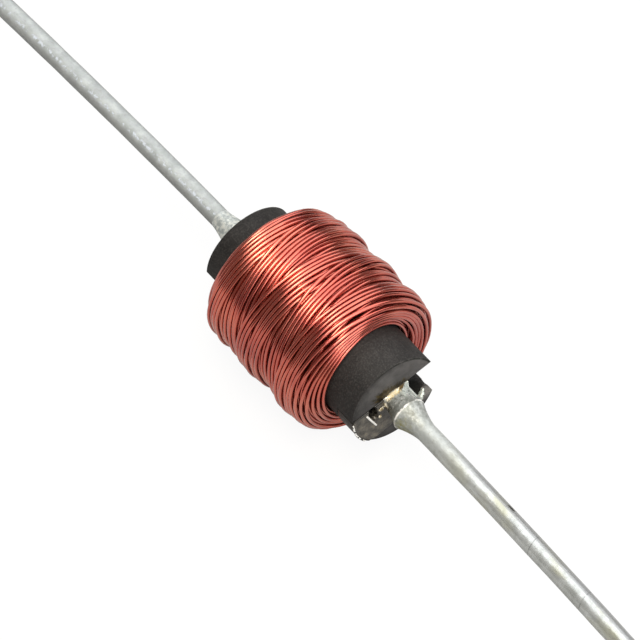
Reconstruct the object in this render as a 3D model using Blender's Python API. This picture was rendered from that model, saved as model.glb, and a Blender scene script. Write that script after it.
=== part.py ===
"""Axial radio-frequency choke: a slotted ferrite rod, scatter-wound with enamelled copper wire,
with a tinned copper lead fixed in each end.

The rod's axis runs along X and the front end is +X. The part lies on its winding, on Z = 0.
All sizes are in metres.
"""
import math

import bmesh
import bpy
from mathutils import Matrix, Vector

# Ferrite rod
CORE_DIAMETER = 0.00394
CORE_LENGTH = 0.00905
CORE_EDGE_BREAK = 0.00006
SLOT_WIDTH = 0.0017
SLOT_DEPTH = 0.00095
SLOT_OFFSET = 0.00037
SLOT_TURN_DEG = 13.0
BORE_DEPTH = 0.0019

# Winding
WIRE_DIAMETER = 0.00016
TURN_SPACING = 1.25
RIDGE_HEIGHT = 0.00005
WINDING_LENGTH = 0.00624
WINDING_BUILD = 0.00132
FRONT_BARE_LENGTH = 0.00185
SHOULDER_LENGTH = 0.00095
SHOULDER_ROUNDNESS = 2.3
BANKS = 3
BANK_HEIGHT = 0.00009
BANK_START_DEG = 150.0
OVAL_SHARE = 0.35
OVAL_START_DEG = 40.0
THREE_LOBE_SHARE = 0.25
TURN_SWAY = 0.00007
SWAY_START_DEG = 63.0
SWAYS = 2
QUICK_SWAY_SHARE = 0.5
QUICK_SWAYS = 1.3
REST_FLAT = 0.00008
REST_REACH_DEG = 60.0

# Leads
LEAD_DIAMETER = 0.00081
LEAD_LENGTH = 0.0254
LEAD_STRAIGHT = 0.0027
FRONT_LEAD_LEAN = 0.004
REAR_LEAD_LEAN = 0.012
LEAD_BOW = 0.00055
LEAD_STRAY_DEG = 24.4

# Solder on each lead
FRONT_RIM_DIAMETER = 0.00144
FRONT_RIM_HEIGHT = 0.0009
REAR_RIM_DIAMETER = 0.00124
REAR_RIM_HEIGHT = 0.00075
SOLDER_NECK = 0.00006
SOLDER_CONE_LENGTH = 0.0013
SOLDER_CONE_CURVE = 1.9
SOLDER_FILM = 0.00003
SOLDER_FOOT_LENGTH = 0.0021
SOLDER_FOOT_HEIGHT = 0.0008

# Cement round each lead in its bore
CEMENT_THICKNESS = 0.00014

# Wire tails
TAIL_STANDOFF = 0.00005
TAIL_LIFT = 0.00015
TAIL_FROM_WALL = 0.00016
TAIL_ROUND_DEG = 15.0
TAIL_BITE = 0.0003

# Clearance kept between pieces that touch
CLEARANCE = 0.000015

# Facets
CORE_SIDES = 72
WINDING_SIDES = 48
BORE_STEPS = 6
LEAD_SIDES = 16
SOLDER_SIDES = 28
TAIL_SIDES = 8
SHOULDER_STEPS = 24
CONE_STEPS = 6
LEAD_STEPS = 10

# Lengths and radii that follow from the sizes above
CORE_RADIUS = CORE_DIAMETER / 2
HALF_CORE = CORE_LENGTH / 2
LEAD_RADIUS = LEAD_DIAMETER / 2
WIRE_RADIUS = WIRE_DIAMETER / 2
LEAD_HOLE_RADIUS = LEAD_RADIUS + CLEARANCE
BORE_RADIUS = LEAD_RADIUS + CEMENT_THICKNESS + 2 * CLEARANCE
SLOT_FLOOR = HALF_CORE - SLOT_DEPTH
BORE_FLOOR = SLOT_FLOOR - BORE_DEPTH
WINDING_BORE_RADIUS = CORE_RADIUS + 2 * CLEARANCE
WINDING_RADIUS = CORE_RADIUS + WINDING_BUILD
WINDING_FRONT = HALF_CORE - FRONT_BARE_LENGTH
WINDING_REAR = WINDING_FRONT - WINDING_LENGTH
DOWN = -math.pi / 2
REST_RADIUS = WINDING_RADIUS - REST_FLAT
AXIS_HEIGHT = REST_RADIUS + RIDGE_HEIGHT
SLOT_ALONG = Vector((0, math.cos(math.radians(SLOT_TURN_DEG)), math.sin(math.radians(SLOT_TURN_DEG))))
SLOT_ACROSS = Vector((0, -SLOT_ALONG.z, SLOT_ALONG.y))


def clear_scene():
    for found in list(bpy.data.objects):
        bpy.data.objects.remove(found, do_unlink=True)


def make_material(name, colour, roughness, metallic):
    material = bpy.data.materials.new(name)
    material.use_nodes = True
    shader = material.node_tree.nodes["Principled BSDF"]
    shader.inputs["Base Color"].default_value = (*colour, 1.0)
    shader.inputs["Roughness"].default_value = roughness
    shader.inputs["Metallic"].default_value = metallic
    return material


def add_object(name, mesh, material, axis):
    """An object on the rod's axis, in the frame whose origin is the middle of the rod."""
    made = bpy.data.objects.new(name, mesh)
    made.parent = axis
    bpy.context.scene.collection.objects.link(made)
    if material:
        mesh.materials.append(material)
    return made


def finish_mesh(name, shape, sharp_deg=35.0):
    """The shape as a mesh, shaded smooth up to the sharp angle, or by its own edges where that is None."""
    bmesh.ops.recalc_face_normals(shape, faces=shape.faces)
    mesh = bpy.data.meshes.new(name)
    if sharp_deg is None:
        for face in shape.faces:
            face.smooth = True
    shape.to_mesh(mesh)
    shape.free()
    if sharp_deg is not None:
        mesh.shade_smooth()
        mesh.set_sharp_from_angle(angle=math.radians(sharp_deg))
    return mesh


def hide_cutter(cutter):
    cutter.hide_render = True
    cutter.display_type = "WIRE"


def combine(target, other, operation):
    step = target.modifiers.new(operation.lower() + "_" + other.name, "BOOLEAN")
    step.operation = operation
    step.solver = "EXACT"
    step.object = other
    hide_cutter(other)


def turned_mesh(name, profile, sides):
    """A closed outline of (x, radius) points, turned once round X."""
    shape = bmesh.new()
    corners = [shape.verts.new((x, 0, radius)) for x, radius in profile]
    edges = [shape.edges.new((a, b)) for a, b in zip(corners, corners[1:] + corners[:1])]
    bmesh.ops.spin(
        shape,
        geom=corners + edges,
        cent=(0, 0, 0),
        axis=(1, 0, 0),
        angle=math.tau,
        steps=sides,
        use_merge=True,
    )
    return finish_mesh(name, shape)


def rod_mesh(name, radius, x_low, x_high, sides):
    shape = bmesh.new()
    bmesh.ops.create_cone(
        shape,
        cap_ends=True,
        segments=sides,
        radius1=radius,
        radius2=radius,
        depth=x_high - x_low,
        matrix=Matrix.Translation(((x_low + x_high) / 2, 0, 0)) @ Matrix.Rotation(math.pi / 2, 4, "Y"),
    )
    return finish_mesh(name, shape)


def slot_frame(end):
    """Turns a shape made along X, Y and Z to the slot's depth, length and width on one end."""
    turn = Matrix((
        (end, 0, 0),
        (0, SLOT_ALONG.y, SLOT_ACROSS.y),
        (0, SLOT_ALONG.z, SLOT_ACROSS.z),
    ))
    return turn.to_4x4()


def slot_block(name, end, low, high):
    """A block given by its low and high corners: depth, along the slot and across it."""
    shape = bmesh.new()
    bmesh.ops.create_cube(shape, size=1.0)
    bmesh.ops.scale(shape, vec=Vector(high) - Vector(low), verts=shape.verts)
    bmesh.ops.translate(shape, vec=(Vector(high) + Vector(low)) / 2, verts=shape.verts)
    bmesh.ops.transform(shape, matrix=slot_frame(end), verts=shape.verts)
    return finish_mesh(name, shape)


def solder_pool(name, end):
    """Molten solder rounds itself over the slot's floor; the slot's walls cut it off."""
    shape = bmesh.new()
    bmesh.ops.create_uvsphere(shape, u_segments=SOLDER_SIDES, v_segments=SOLDER_SIDES // 2, radius=1.0)
    bmesh.ops.scale(
        shape, vec=(SOLDER_FOOT_HEIGHT, SOLDER_FOOT_LENGTH / 2, SLOT_WIDTH), verts=shape.verts
    )
    bmesh.ops.translate(shape, vec=(SLOT_FLOOR, 0, -SLOT_OFFSET), verts=shape.verts)
    bmesh.ops.transform(shape, matrix=slot_frame(end), verts=shape.verts)
    return finish_mesh(name, shape)


def tube_mesh(name, points, radius, sides):
    """A round bar along a smooth path, with flat ends."""
    path = bpy.data.curves.new(name, "CURVE")
    path.dimensions = "3D"
    path.bevel_depth = radius
    path.bevel_resolution = (sides - 4) // 2
    path.use_fill_caps = True
    path.resolution_u = 4
    spline = path.splines.new("BEZIER")
    spline.bezier_points.add(len(points) - 1)
    for corner, point in zip(spline.bezier_points, points):
        corner.co = point
        corner.handle_left_type = "AUTO"
        corner.handle_right_type = "AUTO"
    guide = bpy.data.objects.new(name + "_path", path)
    mesh = bpy.data.meshes.new_from_object(guide)
    bpy.data.objects.remove(guide)
    shape = bmesh.new()
    shape.from_mesh(mesh)
    bmesh.ops.remove_doubles(shape, verts=shape.verts, dist=radius / 50)
    return finish_mesh(name, shape)


def rod_core(axis, ferrite):
    """The ferrite rod: broken edges, a slot across each end and a blind bore for each lead."""
    shape = bmesh.new()
    bmesh.ops.create_cone(
        shape,
        cap_ends=True,
        segments=CORE_SIDES,
        radius1=CORE_RADIUS,
        radius2=CORE_RADIUS,
        depth=CORE_LENGTH,
        matrix=Matrix.Rotation(math.pi / 2, 4, "Y"),
    )
    rims = [edge for edge in shape.edges if abs(edge.verts[0].co.x - edge.verts[1].co.x) < CORE_LENGTH / 2]
    bmesh.ops.bevel(
        shape,
        geom=rims,
        offset=CORE_EDGE_BREAK,
        segments=1,
        affect="EDGES",
        profile=0.5,
        material=-1,
    )
    core = add_object("ferrite_core", finish_mesh("ferrite_core", shape), ferrite, axis)
    overrun = CORE_RADIUS
    for end, side in ((1, "front"), (-1, "rear")):
        slot = slot_block(
            side + "_slot_cutter",
            end,
            (SLOT_FLOOR, -CORE_RADIUS - overrun, -SLOT_WIDTH / 2 - SLOT_OFFSET),
            (HALF_CORE + overrun, CORE_RADIUS + overrun, SLOT_WIDTH / 2 - SLOT_OFFSET),
        )
        combine(core, add_object(side + "_slot_cutter", slot, None, axis), "DIFFERENCE")
        span = sorted((end * BORE_FLOOR, end * (HALF_CORE + overrun)))
        bore = rod_mesh(side + "_bore_cutter", BORE_RADIUS, span[0], span[1], SOLDER_SIDES)
        combine(core, add_object(side + "_bore_cutter", bore, None, axis), "DIFFERENCE")
    return core


def shoulder_points(steps):
    """One quarter of a rounded shoulder, from the rod out to the crown: (run, rise) from 0 to 1."""
    power = 2 / SHOULDER_ROUNDNESS
    quarter = [math.pi / 2 * i / steps for i in range(steps + 1)]
    return [(1 - math.cos(turn) ** power, math.sin(turn) ** power) for turn in quarter]


def winding_outline():
    """The winding's outer outline, rear to front, as (x, radius) points without its ridges."""
    rise = WINDING_RADIUS - WINDING_BORE_RADIUS
    rear = [
        (WINDING_REAR + run * SHOULDER_LENGTH, WINDING_BORE_RADIUS + height * rise)
        for run, height in shoulder_points(SHOULDER_STEPS)
    ]
    front = [(WINDING_FRONT + WINDING_REAR - x, radius) for x, radius in reversed(rear)]
    return rear + front


def walk(outline, distance):
    """The point and the outward normal that lie a distance along the outline."""
    for a, b in zip(outline, outline[1:]):
        stretch = math.hypot(b[0] - a[0], b[1] - a[1])
        if distance <= stretch or b is outline[-1]:
            share = min(distance / stretch, 1.0)
            point = (a[0] + (b[0] - a[0]) * share, a[1] + (b[1] - a[1]) * share)
            return point, (-(b[1] - a[1]) / stretch, (b[0] - a[0]) / stretch)
        distance -= stretch


def outline_length(outline):
    return sum(math.hypot(b[0] - a[0], b[1] - a[1]) for a, b in zip(outline, outline[1:]))


def bank_swell(x, turn):
    """The wire was guided back and forth, so it lies in banks that climb round the rod."""
    bank_length = WINDING_LENGTH / BANKS
    phase = math.tau * (x - WINDING_REAR) / bank_length - turn + math.radians(BANK_START_DEG)
    oval = OVAL_SHARE * math.sin(2 * turn + math.radians(OVAL_START_DEG))
    three_lobes = THREE_LOBE_SHARE * math.sin(3 * turn + math.tau * x / WINDING_LENGTH)
    return BANK_HEIGHT * (math.cos(phase) + oval + three_lobes)


def turn_sway(x, turn):
    """How far a turn strays along the rod from its even place."""
    along = math.tau * x / WINDING_LENGTH
    slow = math.sin(turn + math.radians(SWAY_START_DEG) + SWAYS * along)
    quick = QUICK_SWAY_SHARE * math.sin(3 * turn - QUICK_SWAYS * along)
    return TURN_SWAY * (slow + quick)


def winding_point(step, crest, turn, turns, outline, length):
    """A point of the wound surface, or past the last turn a point of the winding's bore."""
    if step >= 2 * turns:
        share = (step - 2 * turns) / BORE_STEPS
        eased = share ** 3 * (10 - 15 * share + 6 * share ** 2)
        return WINDING_FRONT + (WINDING_REAR - WINDING_FRONT) * eased, WINDING_BORE_RADIUS
    share = step / (2 * turns)
    (x, radius), (lean_x, lean_r) = walk(outline, share * length)
    height = (radius - WINDING_BORE_RADIUS) / (WINDING_RADIUS - WINDING_BORE_RADIUS)
    ends = math.sin(math.pi * share) ** 0.5
    radius += height * bank_swell(x, turn)
    away = math.atan2(math.sin(turn - DOWN), math.cos(turn - DOWN))
    if abs(away) < math.radians(REST_REACH_DEG):
        radius = min(radius, REST_RADIUS / math.cos(away))
    x += ends * height * turn_sway(x, turn)
    ridge = crest * RIDGE_HEIGHT * min(1.0, 2 * height)
    return x + ridge * lean_x, radius + ridge * lean_r


def winding_mesh():
    """The turns as one skin: a grid wrapped round the rod so that each ridge runs on into the next."""
    outline = winding_outline()
    length = outline_length(outline)
    turns = round(length / (WIRE_DIAMETER * TURN_SPACING))
    steps = 2 * turns + BORE_STEPS
    shape = bmesh.new()
    bmesh.ops.create_grid(shape, x_segments=steps, y_segments=WINDING_SIDES, size=1.0)
    valleys = set()
    for corner in shape.verts:
        column = round((corner.co.x + 1) / 2 * steps)
        if column % 2 == 0:
            valleys.add(corner)
        share = round((corner.co.y + 1) / 2 * WINDING_SIDES) / WINDING_SIDES
        turn = math.tau * share
        step = (column + 2 * share) % steps
        crest = 1 if column % 2 else -1
        x, radius = winding_point(step, crest, turn, turns, outline, length)
        corner.co = (x, radius * math.cos(turn), radius * math.sin(turn))
    for edge in shape.edges:
        edge.smooth = not valleys.issuperset(edge.verts)
    bmesh.ops.remove_doubles(shape, verts=shape.verts, dist=WIRE_DIAMETER / 100)
    return finish_mesh("winding", shape, None)


def beside_rod(side, radius, turn):
    """A place round the rod, turned from the slot's end towards the slot's far wall."""
    return SLOT_ALONG * side * radius * math.cos(turn) - SLOT_ACROSS * radius * math.sin(turn)


def tail_points(end, bite):
    """The wire's way from the winding's end, along the rod, into the slot and to the lead's solder."""
    side = -end
    ride = CORE_RADIUS + WIRE_RADIUS + TAIL_STANDOFF
    entry = math.asin((SLOT_WIDTH / 2 + SLOT_OFFSET - TAIL_FROM_WALL) / ride)
    along_rod = entry + math.radians(TAIL_ROUND_DEG)
    inside = SLOT_ALONG * side * (SOLDER_FOOT_LENGTH / 2 - bite) - SLOT_ACROSS * SLOT_OFFSET
    low = SLOT_FLOOR + WIRE_RADIUS + TAIL_LIFT
    leave = WINDING_FRONT if end > 0 else -WINDING_REAR
    turned_in = beside_rod(side, ride - 1.5 * WIRE_DIAMETER, entry)
    places = (
        (leave - SHOULDER_LENGTH / 2, beside_rod(side, ride + WIRE_DIAMETER, along_rod)),
        (leave, beside_rod(side, ride + WIRE_RADIUS, along_rod)),
        ((leave + low) / 2, beside_rod(side, ride, along_rod)),
        (low - WIRE_RADIUS, beside_rod(side, ride, entry)),
        (low, turned_in),
        (low, (turned_in + inside) / 2),
        (low, inside),
    )
    return [Vector((end * x, place.y, place.z)) for x, place in places]


def wound_wire(axis, copper):
    """The winding with its two tails, all one wire."""
    winding = add_object("winding", winding_mesh(), copper, axis)
    for end, side in ((1, "front"), (-1, "rear")):
        mesh = tube_mesh(side + "_tail", tail_points(end, TAIL_BITE), WIRE_RADIUS, TAIL_SIDES)
        combine(winding, add_object(side + "_tail", mesh, None, axis), "UNION")
    return winding


def lead_offset(run, lean):
    """How far the lead has strayed from the axis, a run past its straight root."""
    past = max(run - LEAD_STRAIGHT, 0.0)
    free = LEAD_LENGTH - LEAD_STRAIGHT
    return lean * past + LEAD_BOW * (past / free) ** 2


def lead(axis, tinned, end, side, lean):
    """A round wire with a plain cut end, straight at its root and a little bowed beyond."""
    seat = BORE_FLOOR + CEMENT_THICKNESS + 2 * CLEARANCE
    stray = Vector((0, -math.cos(math.radians(LEAD_STRAY_DEG)), -math.sin(math.radians(LEAD_STRAY_DEG))))
    free = LEAD_LENGTH - LEAD_STRAIGHT
    runs = [LEAD_STRAIGHT + free * i / LEAD_STEPS for i in range(LEAD_STEPS + 1)]
    points = [Vector((end * seat, 0, 0))]
    for run in runs:
        points.append(Vector((end * (HALF_CORE + run), 0, 0)) + stray * lead_offset(run, lean))
    path = bpy.data.curves.new(side + "_lead", "CURVE")
    path.dimensions = "3D"
    path.bevel_depth = LEAD_RADIUS
    path.bevel_resolution = (LEAD_SIDES - 4) // 2
    path.use_fill_caps = True
    spline = path.splines.new("POLY")
    spline.points.add(len(points) - 1)
    for corner, point in zip(spline.points, points):
        corner.co = (*point, 1.0)
    return add_object(side + "_lead", path, tinned, axis)


def solder_joint(axis, solder, end, side, rim_diameter, rim_height):
    """Solder drawn up the lead in a cone with a rim, on a foot that fills the slot."""
    rim = rim_diameter / 2
    rim_x = HALF_CORE + rim_height
    tip_x = rim_x + SOLDER_CONE_LENGTH
    film = LEAD_RADIUS + SOLDER_FILM
    base_x = HALF_CORE + CLEARANCE
    cone = []
    for i in range(1, CONE_STEPS + 1):
        share = i / CONE_STEPS
        cone.append((rim_x + SOLDER_CONE_LENGTH * share, film + (rim - film) * (1 - share) ** SOLDER_CONE_CURVE))
    profile = [
        (SLOT_FLOOR + SLOT_DEPTH / 2, LEAD_RADIUS / 2),
        (SLOT_FLOOR + SLOT_DEPTH / 2, rim - SOLDER_NECK),
        (base_x + rim_height / 2, rim - SOLDER_NECK),
        (rim_x - SOLDER_NECK, rim - SOLDER_NECK / 2),
        (rim_x, rim),
        *cone,
        (tip_x, LEAD_RADIUS / 2),
    ]
    mesh = turned_mesh(side + "_solder", [(end * x, radius) for x, radius in profile], SOLDER_SIDES)
    joint = add_object(side + "_solder", mesh, solder, axis)
    wall = CORE_RADIUS * 2
    near = SLOT_WIDTH / 2 - SLOT_OFFSET - CLEARANCE
    far = -SLOT_WIDTH / 2 - SLOT_OFFSET + CLEARANCE
    pool = add_object(side + "_solder_pool", solder_pool(side + "_solder_pool", end), None, axis)
    combine(joint, pool, "UNION")
    cuts = (
        ("near_wall", (0, -wall, near), (base_x, wall, near + wall)),
        ("far_wall", (0, -wall, far - wall), (base_x, wall, far)),
        ("floor", (0, -wall, -wall), (SLOT_FLOOR + CLEARANCE, wall, wall)),
    )
    for name, low, high in cuts:
        block = slot_block(f"{side}_{name}_cutter", end, low, high)
        combine(joint, add_object(f"{side}_{name}_cutter", block, None, axis), "DIFFERENCE")
    hole_span = sorted((0.0, end * (tip_x + LEAD_DIAMETER)))
    hole = rod_mesh(side + "_lead_cutter", LEAD_HOLE_RADIUS, hole_span[0], hole_span[1], SOLDER_SIDES)
    combine(joint, add_object(side + "_lead_cutter", hole, None, axis), "DIFFERENCE")
    way_in = tail_points(end, TAIL_BITE + CLEARANCE)
    socket = tube_mesh(side + "_tail_cutter", way_in, WIRE_RADIUS + CLEARANCE, TAIL_SIDES)
    combine(joint, add_object(side + "_tail_cutter", socket, None, axis), "DIFFERENCE")
    return joint


def cement_sleeve(axis, cement, end, side):
    """The cement that holds the lead in its blind bore."""
    outer = BORE_RADIUS - CLEARANCE
    top = SLOT_FLOOR - CLEARANCE
    bottom = BORE_FLOOR + CLEARANCE
    seat = bottom + CEMENT_THICKNESS
    shape = rod_mesh(side + "_cement", outer, *sorted((end * bottom, end * top)), SOLDER_SIDES)
    sleeve = add_object(side + "_cement", shape, cement, axis)
    hole_span = sorted((end * seat, end * (top + LEAD_DIAMETER)))
    hole = rod_mesh(side + "_cement_cutter", LEAD_HOLE_RADIUS, *hole_span, SOLDER_SIDES)
    combine(sleeve, add_object(side + "_cement_cutter", hole, None, axis), "DIFFERENCE")
    return sleeve


def main():
    clear_scene()
    ferrite = make_material("ferrite", (0.062, 0.057, 0.054), 0.62, 0.0)
    copper = make_material("enamelled_copper", (0.50, 0.10, 0.055), 0.32, 0.6)
    tinned = make_material("tinned_copper", (0.62, 0.64, 0.62), 0.38, 1.0)
    solder = make_material("solder", (0.70, 0.70, 0.68), 0.28, 1.0)
    cement = make_material("amber_cement", (0.30, 0.17, 0.06), 0.4, 0.0)
    axis = bpy.data.objects.new("rod_axis", None)
    axis.location = (0, 0, AXIS_HEIGHT)
    bpy.context.scene.collection.objects.link(axis)
    rod_core(axis, ferrite)
    wound_wire(axis, copper)
    sides = (
        (1, "front", FRONT_LEAD_LEAN, FRONT_RIM_DIAMETER, FRONT_RIM_HEIGHT),
        (-1, "rear", REAR_LEAD_LEAN, REAR_RIM_DIAMETER, REAR_RIM_HEIGHT),
    )
    for end, side, lean, rim_diameter, rim_height in sides:
        lead(axis, tinned, end, side, lean)
        solder_joint(axis, solder, end, side, rim_diameter, rim_height)
        cement_sleeve(axis, cement, end, side)


main()
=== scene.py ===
# %% [markdown]
# # Dressing an axial choke
#
# The part is a small radio-frequency choke: a slotted ferrite rod, a scatter-wound coil of
# enamelled copper wire, and a tinned lead soldered into each end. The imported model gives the
# shapes and sizes. This file adds what makes it look real: wire laid turn by turn, wet-looking
# solder, matt ferrite and dull tin. It starts by loading the model as a fixed frame.

import math

import bmesh
import bpy
import numpy as np
from mathutils import Matrix, Vector


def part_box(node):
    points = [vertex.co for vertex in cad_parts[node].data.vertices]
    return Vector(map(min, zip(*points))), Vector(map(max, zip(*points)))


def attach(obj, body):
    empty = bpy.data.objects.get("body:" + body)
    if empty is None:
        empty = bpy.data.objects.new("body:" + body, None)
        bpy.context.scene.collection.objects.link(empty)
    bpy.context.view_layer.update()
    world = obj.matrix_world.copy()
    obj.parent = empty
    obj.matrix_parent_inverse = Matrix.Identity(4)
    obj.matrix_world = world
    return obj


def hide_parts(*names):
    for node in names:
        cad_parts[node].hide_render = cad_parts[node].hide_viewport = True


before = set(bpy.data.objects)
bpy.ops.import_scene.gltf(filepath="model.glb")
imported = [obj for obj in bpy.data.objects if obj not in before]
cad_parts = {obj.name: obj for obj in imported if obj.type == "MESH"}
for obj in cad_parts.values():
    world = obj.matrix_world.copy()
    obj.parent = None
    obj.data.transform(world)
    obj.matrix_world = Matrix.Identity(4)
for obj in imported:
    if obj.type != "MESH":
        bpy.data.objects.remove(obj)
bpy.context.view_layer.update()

# %% [markdown]
# Everything is placed from the rod, because the rod carries every other piece. Its box gives the
# axis and the two end faces. Angles round the rod are counted from the side that faces the
# camera, so that a place seen in the photo is easy to name: 0 is the near side, +90 degrees the
# upper right outline and -90 degrees the lower left one.

# %% The rod as the datum
rod_low, rod_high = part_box("ferrite_core")
AXIS_HEIGHT = (rod_low.z + rod_high.z) / 2
ROD_RADIUS = (rod_high.z - rod_low.z) / 2
HALF_ROD = (rod_high.x - rod_low.x) / 2
ROD_MIDDLE = Vector((0, 0, AXIS_HEIGHT))

VIEW_AZIMUTH = math.radians(52.2)
VIEW_ELEVATION = math.radians(53.5)
TO_CAMERA = Vector((
    math.sin(VIEW_AZIMUTH) * math.cos(VIEW_ELEVATION),
    -math.cos(VIEW_AZIMUTH) * math.cos(VIEW_ELEVATION),
    math.sin(VIEW_ELEVATION),
))
NEAR_SIDE = Vector((0, TO_CAMERA.y, TO_CAMERA.z)).normalized()
RIGHT_SIDE = Vector((1, 0, 0)).cross(NEAR_SIDE) * -1
print("axis height, mm:", round(AXIS_HEIGHT * 1000, 3), "rod radius, mm:", round(ROD_RADIUS * 1000, 3))


def side_at(turn):
    """The direction away from the rod's axis at an angle round it."""
    return NEAR_SIDE * math.cos(turn) + RIGHT_SIDE * math.sin(turn)


def round_rod(x, radius, turn):
    """A point at a place along the rod, a distance from its axis and an angle round it."""
    return Vector((x, 0, AXIS_HEIGHT)) + side_at(turn) * radius


# %% [markdown]
# The photo was taken from far away through a long lens: the lead is only four per cent wider at
# the front than at the rear. A flat view without perspective would come close, but would lose that
# taper. So the same camera stands a third of a metre away here, and its lens is set so that the
# frame is 24.2 mm wide at the rod. A shift of the lens, not a turn, puts the rod where it is seen.

# %% Camera
PICTURE_SIDE = 640
VIEW_WIDTH = 0.02424
VIEW_DISTANCE = 0.335
ROD_MIDDLE_SHOWN_AT = (320.5, 322.5)

scene = bpy.context.scene


def in_scene(name, data):
    """An object with its data, put into the scene."""
    made = bpy.data.objects.new(name, data)
    scene.collection.objects.link(made)
    return made


camera_data = bpy.data.cameras.new("camera")
camera = in_scene("camera", camera_data)
scene.camera = camera
camera_data.lens = camera_data.sensor_width * VIEW_DISTANCE / VIEW_WIDTH
camera_data.shift_x = (PICTURE_SIDE / 2 - ROD_MIDDLE_SHOWN_AT[0]) / PICTURE_SIDE
camera_data.shift_y = (ROD_MIDDLE_SHOWN_AT[1] - PICTURE_SIDE / 2) / PICTURE_SIDE
camera.location = ROD_MIDDLE + TO_CAMERA * VIEW_DISTANCE
camera.rotation_euler = TO_CAMERA.to_track_quat("Z", "Y").to_euler()
print("lens, mm:", round(camera_data.lens, 1))

# %% [markdown]
# A product picture of this kind is lit by a large softbox overhead, in a tent. The stripe on the
# leads lies on their upper right, while the coil is bright from just below its middle to well
# above it: that takes a long box that reaches from behind the part to over the camera. Inside it a
# small, strong, warm key draws the golden streaks on single turns. Standard view keeps the colours
# as they are written.

# %% Light
SOFTBOX_HEIGHT = 0.30
SOFTBOX_LENGTH = 0.74
SOFTBOX_WIDTH = 0.54
SOFTBOX_POWER = 1.98
SOFTBOX_BEYOND = 0.08
KEY_LENGTH = 0.17
KEY_WIDTH = 0.12
KEY_POWER = 0.56
KEY_COLOUR = (1.0, 0.87, 0.66)
KEY_TOWARDS_CAMERA = 0.06
KEY_TOWARDS_FRONT = 0.08
KEY_HEIGHT = SOFTBOX_HEIGHT * 0.96
FILL_STRENGTH = 0.12

scene.view_settings.view_transform = "Standard"


def softbox(name, length, width, power, place, long_way, colour=(1, 1, 1)):
    """A box that looks at the part from a place, with its length along a direction."""
    data = bpy.data.lights.new(name, "AREA")
    data.shape = "RECTANGLE"
    data.size = length
    data.size_y = width
    data.energy = power
    data.color = colour
    box = in_scene(name, data)
    back = place.normalized()
    across = back.cross(long_way).normalized()
    box.matrix_world = Matrix((across.cross(back), across, back)).transposed().to_4x4()
    box.location = place
    print(name, "distance, m:", round(place.length, 3), "power, W:", power)


over_camera = Vector((TO_CAMERA.x, TO_CAMERA.y, 0)).normalized()
overhead = Vector((0, SOFTBOX_BEYOND, SOFTBOX_HEIGHT))
softbox("softbox", SOFTBOX_LENGTH, SOFTBOX_WIDTH, SOFTBOX_POWER, overhead, over_camera)
key_place = Vector((KEY_TOWARDS_FRONT, -KEY_TOWARDS_CAMERA, KEY_HEIGHT))
softbox("key", KEY_LENGTH, KEY_WIDTH, KEY_POWER, key_place, over_camera, KEY_COLOUR)

world = bpy.data.worlds.new("tent")
scene.world = world
world.use_nodes = True
world.node_tree.nodes["Background"].inputs["Color"].default_value = (1, 1, 1, 1)
world.node_tree.nodes["Background"].inputs["Strength"].default_value = FILL_STRENGTH

# %% [markdown]
# In the photo the end face of the rod is lighter than its side, so a second, weaker box stands in
# front of the part, low, on the side that the front end looks to.

# %% Front light
FRONT_BOX_DISTANCE = 0.42
FRONT_BOX_SIDE = 0.40
FRONT_BOX_POWER = 0.86
FRONT_BOX_ELEVATION = math.radians(20)

front_way = Vector((math.cos(FRONT_BOX_ELEVATION), 0, math.sin(FRONT_BOX_ELEVATION)))
front_place = front_way * FRONT_BOX_DISTANCE
softbox("front_box", FRONT_BOX_SIDE, FRONT_BOX_SIDE, FRONT_BOX_POWER, front_place, Vector((0, 1, 0)))

# %% [markdown]
# Materials are built from nodes, and the same few come back in each: noise for the grain, a ramp
# that turns it into colours, and a bump. They could be wired by hand in the shader editor, but a
# finish of a dozen layers is easier to follow in words. The first helpers make a material and give
# a node's inputs their values.

# %% Material helpers
def new_material(name):
    """A material with a Principled shader, returned with its node tree and the shader."""
    material = bpy.data.materials.new(name)
    material.use_nodes = True
    tree = material.node_tree
    return material, tree, tree.nodes["Principled BSDF"]


def add_node(tree, kind, **settings):
    node = tree.nodes.new(kind)
    for key, value in settings.items():
        setattr(node, key, value)
    return node


def give(tree, target, value):
    """An input takes a number or a colour as its own value, and a socket by a link."""
    if isinstance(value, bpy.types.NodeSocket):
        tree.links.new(value, target)
    else:
        target.default_value = (*value, 1.0) if isinstance(value, tuple) else value


def give_all(tree, node, values):
    """The same for several inputs of a node, by name."""
    for name, value in values.items():
        give(tree, node.inputs[name], value)


def bump(tree, shader, height, distance, strength):
    """Height that leans the shader's normal; the distance is in metres."""
    node = add_node(tree, "ShaderNodeBump")
    give_all(tree, node, {"Distance": distance, "Strength": strength, "Height": height})
    tree.links.new(node.outputs["Normal"], shader.inputs["Normal"])


# %% [markdown]
# The next ones calculate. A value can be carried from one range to another, and values can be
# multiplied, added or compared, which is how a finish is limited to one side, face or band.

# %% Helpers for values
def span(tree, value, low_in, high_in, low_out, high_out):
    """The value carried from one range to another, held at the ends."""
    node = add_node(tree, "ShaderNodeMapRange")
    give_all(tree, node, {"Value": value, "From Min": low_in, "From Max": high_in, "To Min": low_out})
    give(tree, node.inputs["To Max"], high_out)
    return node.outputs["Result"]


def joined(tree, operation, first, *others):
    """Values joined one after another by a calculation; each is a number or a socket."""
    for other in others:
        node = add_node(tree, "ShaderNodeMath", operation=operation)
        give(tree, node.inputs[0], first)
        give(tree, node.inputs[1], other)
        first = node.outputs[0]
    return first


def product(tree, *values):
    return joined(tree, "MULTIPLY", *values)


def greatest(tree, *values):
    return joined(tree, "MAXIMUM", *values)


def apart(tree, first, second):
    """How far apart two values are, whichever is larger."""
    return joined(tree, "ABSOLUTE", joined(tree, "SUBTRACT", first, second), 0.0)


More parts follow.
